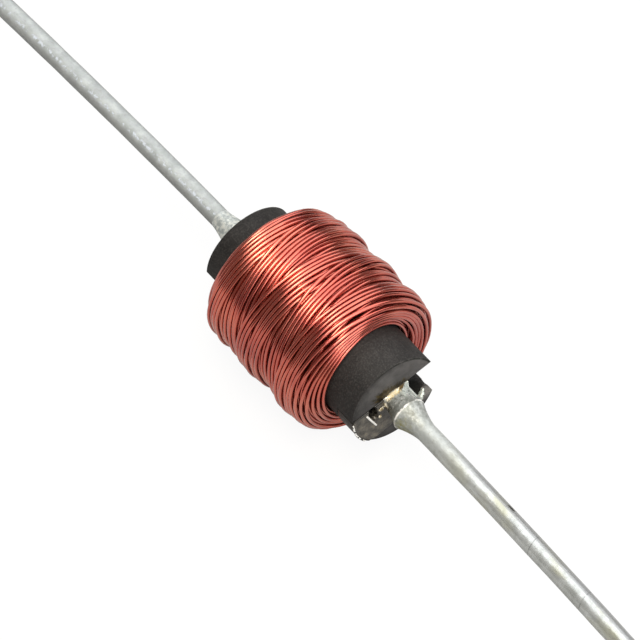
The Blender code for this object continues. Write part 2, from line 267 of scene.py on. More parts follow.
# %% [markdown]
# The last ones deal with places and colours. Every pattern reads object coordinates, in metres, so
# a stain or a scratch can be put where the photo shows it: as a soft, ragged ellipsoid round a
# centre. A finish is then built like paint, one layer over another.

# %% Helpers for places and colours
def object_place(tree, stretch=(1, 1, 1)):
    """Object coordinates, squeezed along each axis by the stretch."""
    place = add_node(tree, "ShaderNodeTexCoord")
    mapping = add_node(tree, "ShaderNodeMapping")
    mapping.inputs["Scale"].default_value = stretch
    tree.links.new(place.outputs["Object"], mapping.inputs["Vector"])
    return mapping.outputs["Vector"]


def along_axes(tree, place):
    """A place's distances along X, Y and Z, by those names."""
    node = add_node(tree, "ShaderNodeSeparateXYZ")
    tree.links.new(place, node.inputs["Vector"])
    return node.outputs


def along_direction(tree, vector, direction):
    """How far a vector reaches in a direction."""
    node = add_node(tree, "ShaderNodeVectorMath", operation="DOT_PRODUCT")
    node.inputs[1].default_value = direction
    tree.links.new(vector, node.inputs[0])
    return node.outputs["Value"]


def noise(tree, place, grain, detail=4.0, roughness=0.55):
    """Noise whose blobs are about one grain across, in metres."""
    node = add_node(tree, "ShaderNodeTexNoise")
    give_all(tree, node, {"Scale": 1 / grain, "Detail": detail, "Roughness": roughness, "Vector": place})
    return node.outputs["Fac"]


def share_of_way_out(tree, place, centre, sizes, turn=0.0):
    """Distance from a centre as a share of an ellipsoid's half sizes: one on its skin."""
    mapping = add_node(tree, "ShaderNodeMapping", vector_type="TEXTURE")
    for name, value in (("Location", centre), ("Rotation", (turn, 0, 0)), ("Scale", sizes)):
        mapping.inputs[name].default_value = value
    tree.links.new(place, mapping.inputs["Vector"])
    length = add_node(tree, "ShaderNodeVectorMath", operation="LENGTH")
    tree.links.new(mapping.outputs["Vector"], length.inputs[0])
    return length.outputs["Value"]


def spot(tree, place, centre, sizes, edge, ragged=0.0, turn=0.0):
    """One inside an ellipsoid and none outside, with a soft edge that noise makes ragged."""
    distance = share_of_way_out(tree, place, centre, sizes, turn)
    if ragged:
        grain = span(tree, noise(tree, place, min(sizes) / 2), 0.3, 0.7, -ragged, ragged)
        distance = joined(tree, "ADD", distance, grain)
    return span(tree, distance, 1 - edge, 1 + edge, 1.0, 0.0)


def ramp(tree, value, stops):
    """Colours for a value, from (position, colour) stops."""
    node = add_node(tree, "ShaderNodeValToRGB")
    elements = node.color_ramp.elements
    while len(elements) < len(stops):
        elements.new(0.5)
    for element, (position, colour) in zip(elements, stops):
        element.position = position
        element.color = (*colour, 1.0)
    tree.links.new(value, node.inputs["Fac"])
    return node.outputs["Color"]


def mix(tree, share, first, second):
    """Two colours mixed by a share; each of the three is a value or a socket."""
    node = add_node(tree, "ShaderNodeMix", data_type="RGBA")
    give(tree, node.inputs["Factor"], share)
    for name, colour in (("A", first), ("B", second)):
        give(tree, next(s for s in node.inputs if s.name == name and s.type == "RGBA"), colour)
    return next(s for s in node.outputs if s.type == "RGBA")


def layered(tree, colour, *layers):
    """A colour with others laid over it in turn, each given as its share and its colour."""
    for share, above in layers:
        colour = mix(tree, share, colour, above)
    return colour


# %% [markdown]
# The photo has no visible floor, only white with a faint shadow. A white floor lit to pure white
# would swallow that shadow and throw too much light back at the part. So the sheet itself is grey,
# and is mixed with plain white by the kind of ray. The camera sees mostly white and partly the lit
# sheet, which keeps the soft shadow. Metal that mirrors the floor sees a smaller share of the
# white, because with the full one the coil's dark lower side turns pale.

# %% Floor
FLOOR_SIDE = 3.0
FLOOR_COLOUR = (0.30, 0.30, 0.30)
FLOOR_WHITE = 1.213
WHITE_SHARE_SEEN = 0.76
WHITE_SHARE_MIRRORED = 0.15


def floor_material():
    material, tree, shader = new_material("floor")
    give_all(tree, shader, {"Base Color": FLOOR_COLOUR, "Roughness": 0.9})
    white = add_node(tree, "ShaderNodeEmission")
    white.inputs["Strength"].default_value = FLOOR_WHITE
    rays = add_node(tree, "ShaderNodeLightPath").outputs
    by_metal = greatest(tree, rays["Is Glossy Ray"], rays["Is Transmission Ray"])
    white_share = greatest(
        tree,
        product(tree, rays["Is Camera Ray"], WHITE_SHARE_SEEN),
        product(tree, by_metal, WHITE_SHARE_MIRRORED),
    )
    blend = add_node(tree, "ShaderNodeMixShader")
    for target, value in zip(blend.inputs, (white_share, shader.outputs[0], white.outputs[0])):
        tree.links.new(value, target)
    tree.links.new(blend.outputs[0], tree.nodes["Material Output"].inputs["Surface"])
    return material


def as_mesh(name, shape):
    """A bmesh written to a new mesh; the bmesh itself goes."""
    mesh = bpy.data.meshes.new(name)
    shape.to_mesh(mesh)
    shape.free()
    return mesh


floor_shape = bmesh.new()
bmesh.ops.create_grid(floor_shape, x_segments=1, y_segments=1, size=FLOOR_SIDE / 2)
floor = in_scene("floor", as_mesh("floor", floor_shape))
floor.data.materials.append(floor_material())
print("floor, m:", FLOOR_SIDE, "by", FLOOR_SIDE)

# %% [markdown]
# Each new piece goes through the same last steps: its mesh becomes an object at the origin, takes
# its material, rides on the part's one body and hides the model nodes it stands for.

# %% Piece helpers
def add_piece(name, mesh, material, stands_for=()):
    """A piece with its material, on the part's body, in place of the model nodes it stands for."""
    piece = in_scene(name, mesh)
    mesh.materials.clear()
    mesh.materials.append(material)
    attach(piece, "root")
    if stands_for:
        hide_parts(*stands_for)
    print(name, "triangles:", sum(len(face.vertices) - 2 for face in mesh.polygons))


# %% [markdown]
# ## The coil
#
# The real coil is one wire, guided back and forth while the rod turned. Seen close, its top layer
# is made of groups of about six turns: one group leans one way, the next lies across it and leans
# the other way. Where groups overlap the coil is thick, and where they part it is thin, which
# gives the outline its humps. A bump map can't show that, so the wire is really laid: each turn
# comes down on what was laid before it, slips into the groove between two turns if one is near,
# and is pulled tight. The last three layers are wire. What lies under them is one body.

# %% Sizes of the coil
WIRE_DIAMETER = 0.000156
TURN_SPACING = 0.000177
COIL_FRONT = HALF_ROD - 0.00170
COIL_REAR = HALF_ROD - 0.00800
COIL_RADIUS = 0.00322
WIRE_DEPTH = 0.00044
REAR_END_LEAN = math.radians(10)
FRONT_END_LEAN = math.radians(4)
REAR_ROUNDING = 0.00075
FRONT_ROUNDING = 0.00048
LEAST_ROUNDING = 0.00006
BODY_GAP = 0.00002
BODY_DROP = 0.00012
WIRE_RADIUS = WIRE_DIAMETER / 2
RIGHT_SWELLS = (
    (-0.0032, 0.0),
    (-0.0026, 0.00002),
    (-0.0014, 0.00016),
    (-0.00067, -0.00004),
    (0.00035, 0.00024),
    (0.0014, 0.00001),
    (0.0022, 0.00028),
    (0.0027, 0.0001),
)
LEFT_SWELLS = (
    (-0.0032, 0.0),
    (-0.0026, 0.00004),
    (-0.0018, -0.00007),
    (-0.0008, 0.00007),
    (-0.0003, 0.00008),
    (0.00052, -0.00013),
    (0.0014, 0.0001),
    (0.0019, 0.0001),
    (0.0026, 0.0),
)
print("coil length, mm:", round((COIL_FRONT - COIL_REAR) * 1000, 2))

# %% [markdown]
# The coil's outline is a leaning end face, a rounded corner and a level crown, at each end. Below
# it, at any depth, the corners are tighter. Places are given on the outline halfway down the laid
# wire: the distance walked along it from the rear foot, and the height over the body.

# %% Outline of the coil
def end_profile(lean, rounding, rise):
    """From the foot to the crown as (run, rise): a leaning face, then a rounded corner."""
    centre_rise = rise - rounding
    face_rise = centre_rise + rounding * math.sin(lean)
    face_run = face_rise * math.tan(lean)
    points = [(0.0, 0.0)]
    for i in range(13):
        turn = lean + (math.pi / 2 - lean) * i / 12
        run = face_run + rounding * (math.cos(lean) - math.cos(turn))
        points.append((run, centre_rise + rounding * math.sin(turn)))
    return points


def coil_outline(depth):
    """The coil's outline below its surface by a depth, as evenly spaced places."""
    foot = ROD_RADIUS + BODY_GAP
    rise = COIL_RADIUS - depth - foot
    rear = end_profile(REAR_END_LEAN, max(REAR_ROUNDING - depth, LEAST_ROUNDING), rise)
    front = end_profile(FRONT_END_LEAN, max(FRONT_ROUNDING - depth, LEAST_ROUNDING), rise)
    corners = [(COIL_REAR + depth + run, foot + up) for run, up in rear]
    corners += [(COIL_FRONT - depth - run, foot + up) for run, up in reversed(front)]
    corners = np.array(corners)
    passed = np.concatenate(([0.0], np.cumsum(np.hypot(*np.diff(corners, axis=0).T))))
    even = np.linspace(0, passed[-1], 400)
    return np.stack([np.interp(even, passed, corners[:, axis]) for axis in (0, 1)], axis=1)


def softened(values, reach):
    """A moving average that takes out kinks shorter than the reach."""
    window = np.hanning(2 * reach + 1)
    padded = np.concatenate((np.full(reach, values[0]), values, np.full(reach, values[-1])))
    return np.convolve(padded, window / window.sum(), "valid")


outline = coil_outline(WIRE_DEPTH / 2)
walked = np.concatenate(([0.0], np.cumsum(np.hypot(*np.diff(outline, axis=0).T))))
OUTLINE_LENGTH = walked[-1]
slopes = np.gradient(outline, walked, axis=0)
facing = softened(np.arctan2(slopes[:, 1], slopes[:, 0]) + math.pi / 2, 4)
outward = np.stack((np.cos(facing), np.sin(facing)), axis=1)
curvature = -np.gradient(facing, walked)
print("outline length, mm:", round(OUTLINE_LENGTH * 1000, 3))
print("sharpest bend, mm:", round(1000 / curvature.max(), 3))
LEAST_STRETCH = 0.35


def on_outline(distance, height):
    """Places along and from the axis for distances along the outline and heights over the body."""
    off = height - WIRE_DEPTH / 2
    x = np.interp(distance, walked, outline[:, 0]) + off * np.interp(distance, walked, outward[:, 0])
    radius = np.interp(distance, walked, outline[:, 1]) + off * np.interp(distance, walked, outward[:, 1])
    return x, radius


def stretch(distance, height):
    """How much longer a step is at a height over the body than on the outline halfway up."""
    bend = np.interp(distance, walked, curvature)
    return np.maximum(1 + (height - WIRE_DEPTH / 2) * bend, LEAST_STRETCH)


# %% [markdown]
# The route comes next. Three passes are laid: rear to front, back again, and rear to front once
# more. The turns of a pass are spaced evenly at its own height, so round the corners they spread
# like a fan. Within a turn the wire drifts along the rod as a sine, so the turn is a tilted ring,
# and the lean says how far. The last pass changes its lean at the places read from the photo.

# %% The wire's route
SAMPLES_PER_TURN = 72
PASS_HEIGHTS = (0.00008, 0.00022, 0.00036)
MIDDLE_LEAN = -0.00022
UPPER_GROUPS = (
    (-0.00205, 0.00016),
    (-0.00090, -0.00048),
    (0.00045, 0.00024),
    (0.00150, -0.00048),
    (COIL_FRONT, 0.00014),
)
FOOT_ROOM = 0.00009
WANDER = 0.00001
LEAN_CHANGE = 9
SHOULDER_WALK = 0.0011
SEED = 11


def smooth_random(count, reach, generator):
    """Random numbers smoothed over a reach of samples, with a spread of one."""
    window = np.hanning(2 * reach + 1)
    raw = np.convolve(generator.standard_normal(count + 2 * reach), window / window.sum(), "valid")
    return raw / raw.std()


def lean_at(x):
    """The lean of the group that a turn of the upper pass belongs to, by its place along the rod."""
    return next(lean for group_end, lean in UPPER_GROUPS if x <= group_end)


def pass_centres(height):
    """Places along the outline for the samples of one pass, evenly spaced at the pass's height."""
    steps = np.diff(walked) * stretch((walked[1:] + walked[:-1]) / 2, height)
    at_height = np.concatenate(([0.0], np.cumsum(steps)))
    turns = round((at_height[-1] - 2 * FOOT_ROOM) / TURN_SPACING)
    even = np.linspace(FOOT_ROOM, at_height[-1] - FOOT_ROOM, turns * SAMPLES_PER_TURN, endpoint=False)
    return np.interp(even, at_height, walked)


def wire_route():
    """For each sample of the wire: its angle, its place along the outline and its pass's height."""
    low, middle, high = [pass_centres(height) for height in PASS_HEIGHTS]
    centres = np.concatenate((low, middle[::-1], high))
    heights = np.repeat(PASS_HEIGHTS, (len(low), len(middle), len(high)))
    angles = math.pi + math.tau * np.arange(len(centres)) / SAMPLES_PER_TURN
    turn_middles = np.interp(high[SAMPLES_PER_TURN // 2::SAMPLES_PER_TURN], walked, outline[:, 0])
    upper_lean = np.repeat([lean_at(x) for x in turn_middles], SAMPLES_PER_TURN)
    lean = np.concatenate((np.zeros(len(low)), np.full(len(middle), MIDDLE_LEAN), upper_lean))
    lean = softened(lean, LEAN_CHANGE)
    ends = np.clip(np.minimum(centres, OUTLINE_LENGTH - centres) / SHOULDER_WALK, 0, 1)
    generator = np.random.default_rng(SEED)
    wander = smooth_random(len(angles), 14, generator) + smooth_random(len(angles), 60, generator)
    return angles, centres + ends * (lean * np.sin(angles) + WANDER * wander), heights


wire_angles, wire_places, pass_heights = wire_route()
LAST_PASS_START = int(np.argmax(pass_heights == PASS_HEIGHTS[-1]))
print("turns laid:", len(wire_angles) // SAMPLES_PER_TURN)

# %% [markdown]
# Laying a turn: the ground is a grid of heights over the body, angle by distance along the
# outline. At each sample the wire may shift a little to where it lies lowest, the shift is
# smoothed, since wire is stiff, and the turn is pulled tight: between two bumps it runs straight.
# Then the turn itself is added to the ground, so that the next one rests on it.

# %% Laying the wire
GROUND_STEP = 0.00001
SLIP = 0.00009
SLIP_COST = 0.25
SLIP_SMOOTHING = 9
PULLS = 80
OUTSIDE_WIRE = -1.0


def wire_profile(places, height):
    """The wire's half height at each offset in ground steps, row by row; very low outside it."""
    reach = round(WIRE_RADIUS / GROUND_STEP / LEAST_STRETCH)
    offsets = np.arange(-reach, reach + 1)
    across = offsets[None, :] * GROUND_STEP * stretch(places, height)[:, None]
    half = np.sqrt(np.maximum(WIRE_RADIUS ** 2 - across ** 2, 0))
    return offsets, np.where(np.abs(across) < WIRE_RADIUS, half, OUTSIDE_WIRE)


def pulled_tight(rest, before, sag):
    """Heights of a turn that rests on its supports and runs straight between them."""
    height = rest.copy()
    for _ in range(PULLS):
        left = np.concatenate(([before], height[:-1]))
        right = np.concatenate((height[1:], [height[-1]]))
        height = np.maximum(rest, (left + right) / 2 - sag)
    return height


def lay_wire(places, layers):
    """The height of the wire's centre over the body at each sample, and its place after slipping."""
    columns = int(OUTLINE_LENGTH / GROUND_STEP) + 1
    ground = np.zeros((SAMPLES_PER_TURN, columns))
    shifts = np.arange(-SLIP, SLIP + GROUND_STEP / 2, GROUND_STEP)
    rows = np.arange(SAMPLES_PER_TURN)
    smoothing = np.hanning(2 * SLIP_SMOOTHING + 1)
    smoothing /= smoothing.sum()
    laid, settled = [], []
    before = WIRE_RADIUS
    last_shift = 0.0
    for start in range(0, len(places), SAMPLES_PER_TURN):
        wanted = places[start:start + SAMPLES_PER_TURN]
        layer = layers[start]
        offsets, half = wire_profile(wanted, layer)
        low = min((offsets[-1] + 1) * GROUND_STEP, WIRE_RADIUS + GROUND_STEP)
        high = OUTLINE_LENGTH - WIRE_RADIUS - 2 * GROUND_STEP
        high = max((columns - offsets[-1] - 2) * GROUND_STEP, high)
        free = SLIP if layer > PASS_HEIGHTS[0] else 0.0
        tried = np.clip(wanted[:, None] + np.clip(shifts, -free, free)[None, :], low, high)
        column = np.rint(tried / GROUND_STEP).astype(int)
        cells = np.clip(column[:, :, None] + offsets[None, None, :], 0, columns - 1)
        rest = (ground[rows[:, None, None], cells] + half[:, None, :]).max(axis=2)
        best = np.clip(shifts, -free, free)[(rest + SLIP_COST * np.abs(shifts)).argmin(axis=1)]
        first, last = np.full(SLIP_SMOOTHING, last_shift), np.full(SLIP_SMOOTHING, best[-1])
        shift = np.convolve(np.concatenate((first, best, last)), smoothing, "valid")
        last_shift = shift[-1]
        place = np.clip(wanted + shift, low, high)
        column = np.rint(place / GROUND_STEP).astype(int)
        cells = np.clip(column[:, None] + offsets, 0, columns - 1)
        rest = (ground[rows[:, None], cells] + half).max(axis=1)
        radius = np.interp(place, walked, outline[:, 1])
        facing_out = np.interp(place, walked, outward[:, 1])
        sag = (radius + rest) * (1 - math.cos(math.tau / SAMPLES_PER_TURN)) * facing_out
        height = pulled_tight(rest, before, sag)
        before = height[-1]
        for row in rows:
            ground[row, cells[row]] = np.maximum(ground[row, cells[row]], height[row] + half[row])
        laid.append(height)
        settled.append(place)
    return np.concatenate(laid), np.concatenate(settled), ground


wire_heights, wire_places, ground = lay_wire(wire_places, pass_heights)
for layer in PASS_HEIGHTS:
    spread = np.percentile(wire_heights[pass_heights == layer], (5, 50, 95))
    print("pass height, mm:", (spread * 1000).round(3).tolist())
wire_places = softened(wire_places, 5)
wire_heights = softened(wire_heights, 3)

# %% [markdown]
# The laid wire piles up where turns crowd, more than a real one under tension. So its general
# level is drawn to the outline of the real coil: the tops are widened and smoothed until single
# turns no longer show, and every sample moves by the difference between that level and the one
# wanted. Neighbouring turns move together, so they still lie on each other as they were laid.

# %% Drawing the coil to its outline
LEVEL_WIDTH = 0.00012
LEVEL_SMOOTHING = 0.0004
LEVEL_ROWS = 7
MOST_DRAWN = 0.00017
MOST_OVER = 0.00008


def level_of(ground):
    """The height of the coil's tops over the body, without its single turns."""
    top = ground.copy()
    for shift in range(-round(LEVEL_WIDTH / GROUND_STEP), round(LEVEL_WIDTH / GROUND_STEP) + 1, 3):
        top = np.maximum(top, np.roll(ground, shift, axis=1))
    top = np.max([np.roll(top, turn, axis=0) for turn in (-2, 0, 2)], axis=0)
    reach = round(LEVEL_SMOOTHING / GROUND_STEP)
    level = np.array([softened(row, reach) for row in top])
    window = np.hanning(2 * LEVEL_ROWS + 1)
    turned = [np.roll(level, turn, axis=0) for turn in range(-LEVEL_ROWS, LEVEL_ROWS + 1)]
    return np.tensordot(window / window.sum(), turned, axes=1)


def wanted_level(x, angles):
    """The height wanted over the body: the swells of the right and left outlines, blended between."""
    right = np.interp(x, *zip(*RIGHT_SWELLS))
    left = np.interp(x, *zip(*LEFT_SWELLS))
    side = np.sin(angles)
    share_right = np.maximum(side, 0) ** 2
    share_left = np.maximum(-side, 0) ** 2
    between = (1 - share_right - share_left) * (right + left) / 2
    return WIRE_DEPTH + share_right * right + share_left * left + between


level = level_of(ground)
level_rows = np.arange(len(wire_places)) % SAMPLES_PER_TURN
level_columns = np.rint(wire_places / GROUND_STEP).astype(int)
wanted = wanted_level(np.interp(wire_places, walked, outline[:, 0]), wire_angles)
drawn = np.clip(wanted - level[level_rows, level_columns], -MOST_DRAWN, MOST_DRAWN)
wire_heights = np.clip(wire_heights + drawn, WIRE_RADIUS - BODY_DROP, wanted + MOST_OVER)
print("drawn in or out, mm:", (np.percentile(drawn, (5, 50, 95)) * 1000).round(3).tolist())


def outline_seen(turn, width):
    """The coil's outer radius along the rod, in mm, as its outline shows it at an angle."""
    x, radius = on_outline(wire_places, wire_heights + WIRE_RADIUS)
    away = np.abs((wire_angles - turn + math.pi) % math.tau - math.pi)
    near = away < math.radians(8)
    bins = np.rint(x[near] / width).astype(int)
    return {
        round(b * width * 1000, 2): round(float(radius[near][bins == b].max()) * 1000, 2)
        for b in np.unique(bins)
    }


for side, turn in (("right", math.pi / 2), ("left", -math.pi / 2), ("near", 0.0), ("far", math.pi)):
    print(side, "outline, mm:", outline_seen(turn, 0.0003))

# %% [markdown]
# One turn of the real coil has come loose and stands off as a small loop on the right outline.
# The turn of the last pass that crosses that place is lifted there, clear of its neighbours.

# %% The loose turn
LOOP_X = -0.00095
LOOP_ANGLE = math.radians(84)
LOOP_HALF_ANGLE = math.radians(24)
LOOP_LIFT = 0.00013
LOOP_NEIGHBOURS = 0.00025

loop_distance = np.abs((wire_angles - LOOP_ANGLE + math.pi) % math.tau - math.pi)
loop_x, _ = on_outline(wire_places, wire_heights)
last_pass = np.arange(len(wire_angles)) > LAST_PASS_START
at_loop = last_pass & (loop_distance < math.tau / SAMPLES_PER_TURN)
loop_middle = np.flatnonzero(at_loop)[np.abs(loop_x[at_loop] - LOOP_X).argmin()]
from_middle = np.abs(wire_angles - wire_angles[loop_middle]) / LOOP_HALF_ANGLE
beside_loop = (loop_distance < LOOP_HALF_ANGLE / 2) & (np.abs(loop_x - LOOP_X) < LOOP_NEIGHBOURS)
lift = wire_heights[beside_loop].max() + LOOP_LIFT - wire_heights[loop_middle]
wire_heights = wire_heights + lift * np.cos(np.clip(from_middle, 0, 1) * math.pi / 2) ** 2
print("loose turn stands at x, mm:", round(float(loop_x[loop_middle]) * 1000, 2))

# %% [markdown]
# The coil's front end isn't square. On the right its foot lies back and its crown leans out over
# it; on the left the foot reaches forward and the end slopes. A skew that grows towards the front
# end gives it that form.

# %% The skewed front end
SKEW_START = 0.0012
FOOT_SKEW = -0.00036
CROWN_SKEW = 0.00010


def end_skew(x, radius, turn):
    """How far a place in the coil moves along the rod, by its angle and its height."""
    share = np.clip((radius - ROD_RADIUS) / (COIL_RADIUS - ROD_RADIUS), 0, 1)
    reach = np.clip((x - SKEW_START) / (COIL_FRONT - SKEW_START), 0, 1)
    return np.sin(turn) * reach ** 1.5 * (FOOT_SKEW * (1 - share) + CROWN_SKEW * share)


print("foot on the right lies back by, mm:", round(-FOOT_SKEW * 1000, 2))

# %% [markdown]
# The laid samples become one round wire: a curve through them with a bevel, turned into a mesh.
# Under the part the turns are pressed flat against the floor.

# %% The wire as a piece
WIRE_SIDES = 8
FLOOR_ROOM = 0.00001


def wire_outward():
    """The direction away from the coil's body at each laid sample."""
    low_x, low_radius = on_outline(wire_places, wire_heights)
    high_x, high_radius = on_outline(wire_places, wire_heights + WIRE_RADIUS)
    along, out = (high_x - low_x) / WIRE_RADIUS, (high_radius - low_radius) / WIRE_RADIUS
    sides = [side_at(turn) for turn in wire_angles]
    return np.array([(a, o * side.y, o * side.z) for a, o, side in zip(along, out, sides)])


def wire_points():
    """The laid samples as points in space, kept above the floor."""
    x, radius = on_outline(wire_places, wire_heights)
    x = x + end_skew(x, radius, wire_angles)
    points = []
    for along, out, turn in zip(x, radius, wire_angles):
        point = round_rod(along, out, turn)
        point.z = max(point.z, WIRE_RADIUS + FLOOR_ROOM)
        points.append(point)
    return points


def round_bar(name, points, radius, sides, swells=None):
    """A round bar through points, as a mesh with closed ends; the swells scale its radius."""
    path = bpy.data.curves.new(name, "CURVE")
    path.dimensions = "3D"
    path.bevel_depth = radius
    path.bevel_resolution = (sides - 4) // 2
    path.use_fill_caps = True
    spline = path.splines.new("POLY")
    spline.points.add(len(points) - 1)
    spline.points.foreach_set("co", [value for point in points for value in (*point, 1.0)])
    if swells is not None:
        spline.points.foreach_set("radius", list(swells))
    spline.use_smooth = True
    guide = bpy.data.objects.new(name, path)
    mesh = bpy.data.meshes.new_from_object(guide)
    bpy.data.objects.remove(guide)
    mesh.name = name
    return mesh


def smooth_path(corners, steps):
    """A curve through the corners, Catmull-Rom, with a number of steps between each two."""
    padded = [corners[0] * 2 - corners[1], *corners, corners[-1] * 2 - corners[-2]]
    points = []
    for a, b, c, d in zip(padded, padded[1:], padded[2:], padded[3:]):
        for i in range(steps):
            t = i / steps
            points.append((
                b * 2 + (c - a) * t + (a * 2 - b * 5 + c * 4 - d) * t ** 2 + (b * 3 - a - c * 3 + d) * t ** 3
            ) / 2)
    return points + [corners[-1]]


def take_in(shape, mesh):
    """A bmesh takes in a mesh; the mesh itself goes."""
    shape.from_mesh(mesh)
    bpy.data.meshes.remove(mesh)


# %% [markdown]
# Magnet wire is bright copper under a clear enamel of about a hundredth of a millimetre, here a
# red-brown one. Two shaders could be stacked, but a metallic base with a clear coat is the same
# thing. What a plain coat can't give is the dark gap between turns, where light is lost between
# wires, so each corner of the wire tells the material how far it faces away from the coil, and the
# side that faces in gets painted shade.

# %% Enamelled copper
COPPER_PATCH = 0.0016
COPPER_TONES = (
    (0.30, (0.58, 0.096, 0.069)),
    (0.50, (0.74, 0.150, 0.102)),
    (0.72, (0.88, 0.228, 0.147)),
)
# Painted shade for the gaps between turns.
GAP_SHADE_COLOUR = (0.13, 0.012, 0.010)
GAP_SHADE_SHARE = 0.68


def copper_material():
    """Enamelled copper: red metal under a clear, red-brown skin, with painted shade between turns."""
    material, tree, shader = new_material("enamelled_copper")
    colour = ramp(tree, noise(tree, object_place(tree), COPPER_PATCH, detail=3.0), COPPER_TONES)
    crown = add_node(tree, "ShaderNodeAttribute", attribute_name="crown")
    # Painted shade: the sides of the wire that face in towards the coil get a dark colour and less coat.
    gap_shade = span(tree, crown.outputs["Fac"], -0.05, 0.50, GAP_SHADE_SHARE, 0.0)
    give_all(tree, shader, {
        "Base Color": mix(tree, gap_shade, colour, GAP_SHADE_COLOUR),
        "Coat Weight": span(tree, gap_shade, 0.0, GAP_SHADE_SHARE, 1.0, 0.3),
        "Coat Roughness": 0.06,
        "Metallic": 0.92,
        "Roughness": 0.17,
    })
    return material


copper = copper_material()
print("copper nodes:", len(copper.node_tree.nodes))

# %% [markdown]
# The wire ends in two tails. Each runs along the rod, on the side away from the camera, turns
# over the slot's edge and ends in the solder foot beside the lead. The slots are turned 13 degrees
# about the rod and lie a little off its middle, which the tails and the solder both need. Each
# corner of the wire keeps how far it faces away from the body, its crown, so that the gaps
# between turns can get painted shade.

# %% The slots, and the wire's tails
SLOT_TURN = math.radians(13)
SLOT_WIDTH = 0.0017
SLOT_DEPTH = 0.00095
SLOT_OFFSET = 0.00037
FACE_LEAN = 0.046
SLOT_ALONG = Vector((0, math.cos(SLOT_TURN), math.sin(SLOT_TURN)))
SLOT_ACROSS = Vector((0, -SLOT_ALONG.z, SLOT_ALONG.y))
SLOT_FLOOR = HALF_ROD - SLOT_DEPTH
FOOT_HALF_LENGTH = 0.00105
TAIL_RIDE = ROD_RADIUS + WIRE_RADIUS + 0.00005
TAIL_FROM_WALL = 0.00009
TAIL_FROM_FLOOR = 0.00023
TAIL_ROUND = math.radians(15)
TAIL_STEPS = 10


def face_shift(side):
    """How far the front face stands out at a place beside the axis, since its cut leans a little."""
    return -FACE_LEAN * side.dot(NEAR_SIDE)


def in_slot(end, depth, along, across):
    """A place given from the rod's middle: depth along the rod, along the slot and across it."""
    side = SLOT_ALONG * along + SLOT_ACROSS * across
    share = min(max((depth - SLOT_FLOOR) / SLOT_DEPTH, 0.0), 1.0) if end > 0 else 0.0
    return ROD_MIDDLE + Vector((end * depth + share * face_shift(side), 0, 0)) + side


def beside_rod(end, depth, radius, turn):
    """A place off the rod's axis by a radius, at an angle from the slot's direction."""
    return in_slot(end, depth, -end * radius * math.cos(turn), -radius * math.sin(turn))


def tail_corners(end):
    """The way from the coil's end, along the rod and over the slot's edge into the solder."""
    entry = math.asin((SLOT_WIDTH / 2 + SLOT_OFFSET - TAIL_FROM_WALL) / TAIL_RIDE)
    beside = entry + TAIL_ROUND
    leave = COIL_FRONT if end > 0 else -COIL_REAR
    low = SLOT_FLOOR + TAIL_FROM_FLOOR
    turned_in = beside_rod(end, low, TAIL_RIDE - 1.5 * WIRE_DIAMETER, entry)
    inside = in_slot(end, low, -end * (FOOT_HALF_LENGTH - 0.0003), -SLOT_OFFSET)
    return [
        beside_rod(end, leave - 0.0004, TAIL_RIDE + 2 * WIRE_DIAMETER, beside + 0.5),
        beside_rod(end, leave - 0.0001, TAIL_RIDE + WIRE_DIAMETER, beside + 0.25),
        beside_rod(end, leave + 0.00018, TAIL_RIDE, beside + 0.03),
        beside_rod(end, (leave + low) / 2, TAIL_RIDE, beside),
        beside_rod(end, low - WIRE_DIAMETER, TAIL_RIDE, beside),
        beside_rod(end, low, ROD_RADIUS - WIRE_RADIUS, entry),
        turned_in,
        (turned_in + inside) / 2,
        inside,
    ]


def wound_wire():
    """The laid wire and its two tails in one mesh."""
    shape = bmesh.new()
    for points in (wire_points(), *(smooth_path(tail_corners(end), TAIL_STEPS) for end in (1, -1))):
        take_in(shape, round_bar("coil_wire", points, WIRE_RADIUS, WIRE_SIDES))
    mesh = as_mesh("coil_wire", shape)
    corners = np.empty(3 * len(mesh.vertices))
    mesh.vertices.foreach_get("co", corners)
    outward = wire_outward()
    rings = corners[:len(outward) * WIRE_SIDES * 3].reshape(len(outward), WIRE_SIDES, 3)
    from_core = (rings - rings.mean(axis=1, keepdims=True)) / WIRE_RADIUS
    crown = np.ones(len(mesh.vertices))
    crown[:len(outward) * WIRE_SIDES] = np.einsum("nsc,nc->ns", from_core, outward).ravel()
    mesh.attributes.new("crown", "FLOAT", "POINT").data.foreach_set("value", crown)
    print("crown from", round(float(crown.min()), 2), "to", round(float(crown.max()), 2))
    return mesh


add_piece("coil_wire", wound_wire(), copper, ["winding"])

# %% [markdown]
# The body under the wire only shows as darkness between turns. It is the coil's outline, sunk below
# the lowest laid turns and turned once round the rod. Its copper is painted darker and duller, as
# shade.

# %% The coil's inner layers
BODY_SIDES = 64
BODY_STRIDE = 7


def turned_solid(profile, sides):
    """A closed outline of (x, radius) points turned once round the X axis."""
    shape = bmesh.new()
    corners = [shape.verts.new((x, 0, radius)) for x, radius in profile]
    edges = [shape.edges.new((a, b)) for a, b in zip(corners, corners[1:] + corners[:1])]
    bmesh.ops.spin(
        shape,
        geom=corners + edges,
        cent=(0, 0, 0),
        axis=(1, 0, 0),
        angle=math.tau,
        steps=sides,
        use_merge=True,
    )
    return shape


def coil_body():
    """The outline turned round the rod, with the swells and the skew that the wire has."""
    shape = turned_solid(coil_outline(WIRE_DEPTH + BODY_DROP)[::BODY_STRIDE], BODY_SIDES)
    for corner in shape.verts:
        radius = math.hypot(corner.co.y, corner.co.z)
        side = Vector((0, corner.co.y, corner.co.z)) / radius
        turn = math.atan2(side.dot(RIGHT_SIDE), side.dot(NEAR_SIDE))
        height = min((radius - ROD_RADIUS) / (COIL_RADIUS - WIRE_DEPTH - ROD_RADIUS), 1.0)
        corner.co += side * height * float(wanted_level(corner.co.x, turn) - WIRE_DEPTH)
        corner.co.x += float(end_skew(corner.co.x, radius, turn))
    bmesh.ops.translate(shape, vec=ROD_MIDDLE, verts=shape.verts)
    bmesh.ops.recalc_face_normals(shape, faces=shape.faces)
    mesh = as_mesh("coil_inner_layers", shape)
    mesh.shade_smooth()
    return mesh


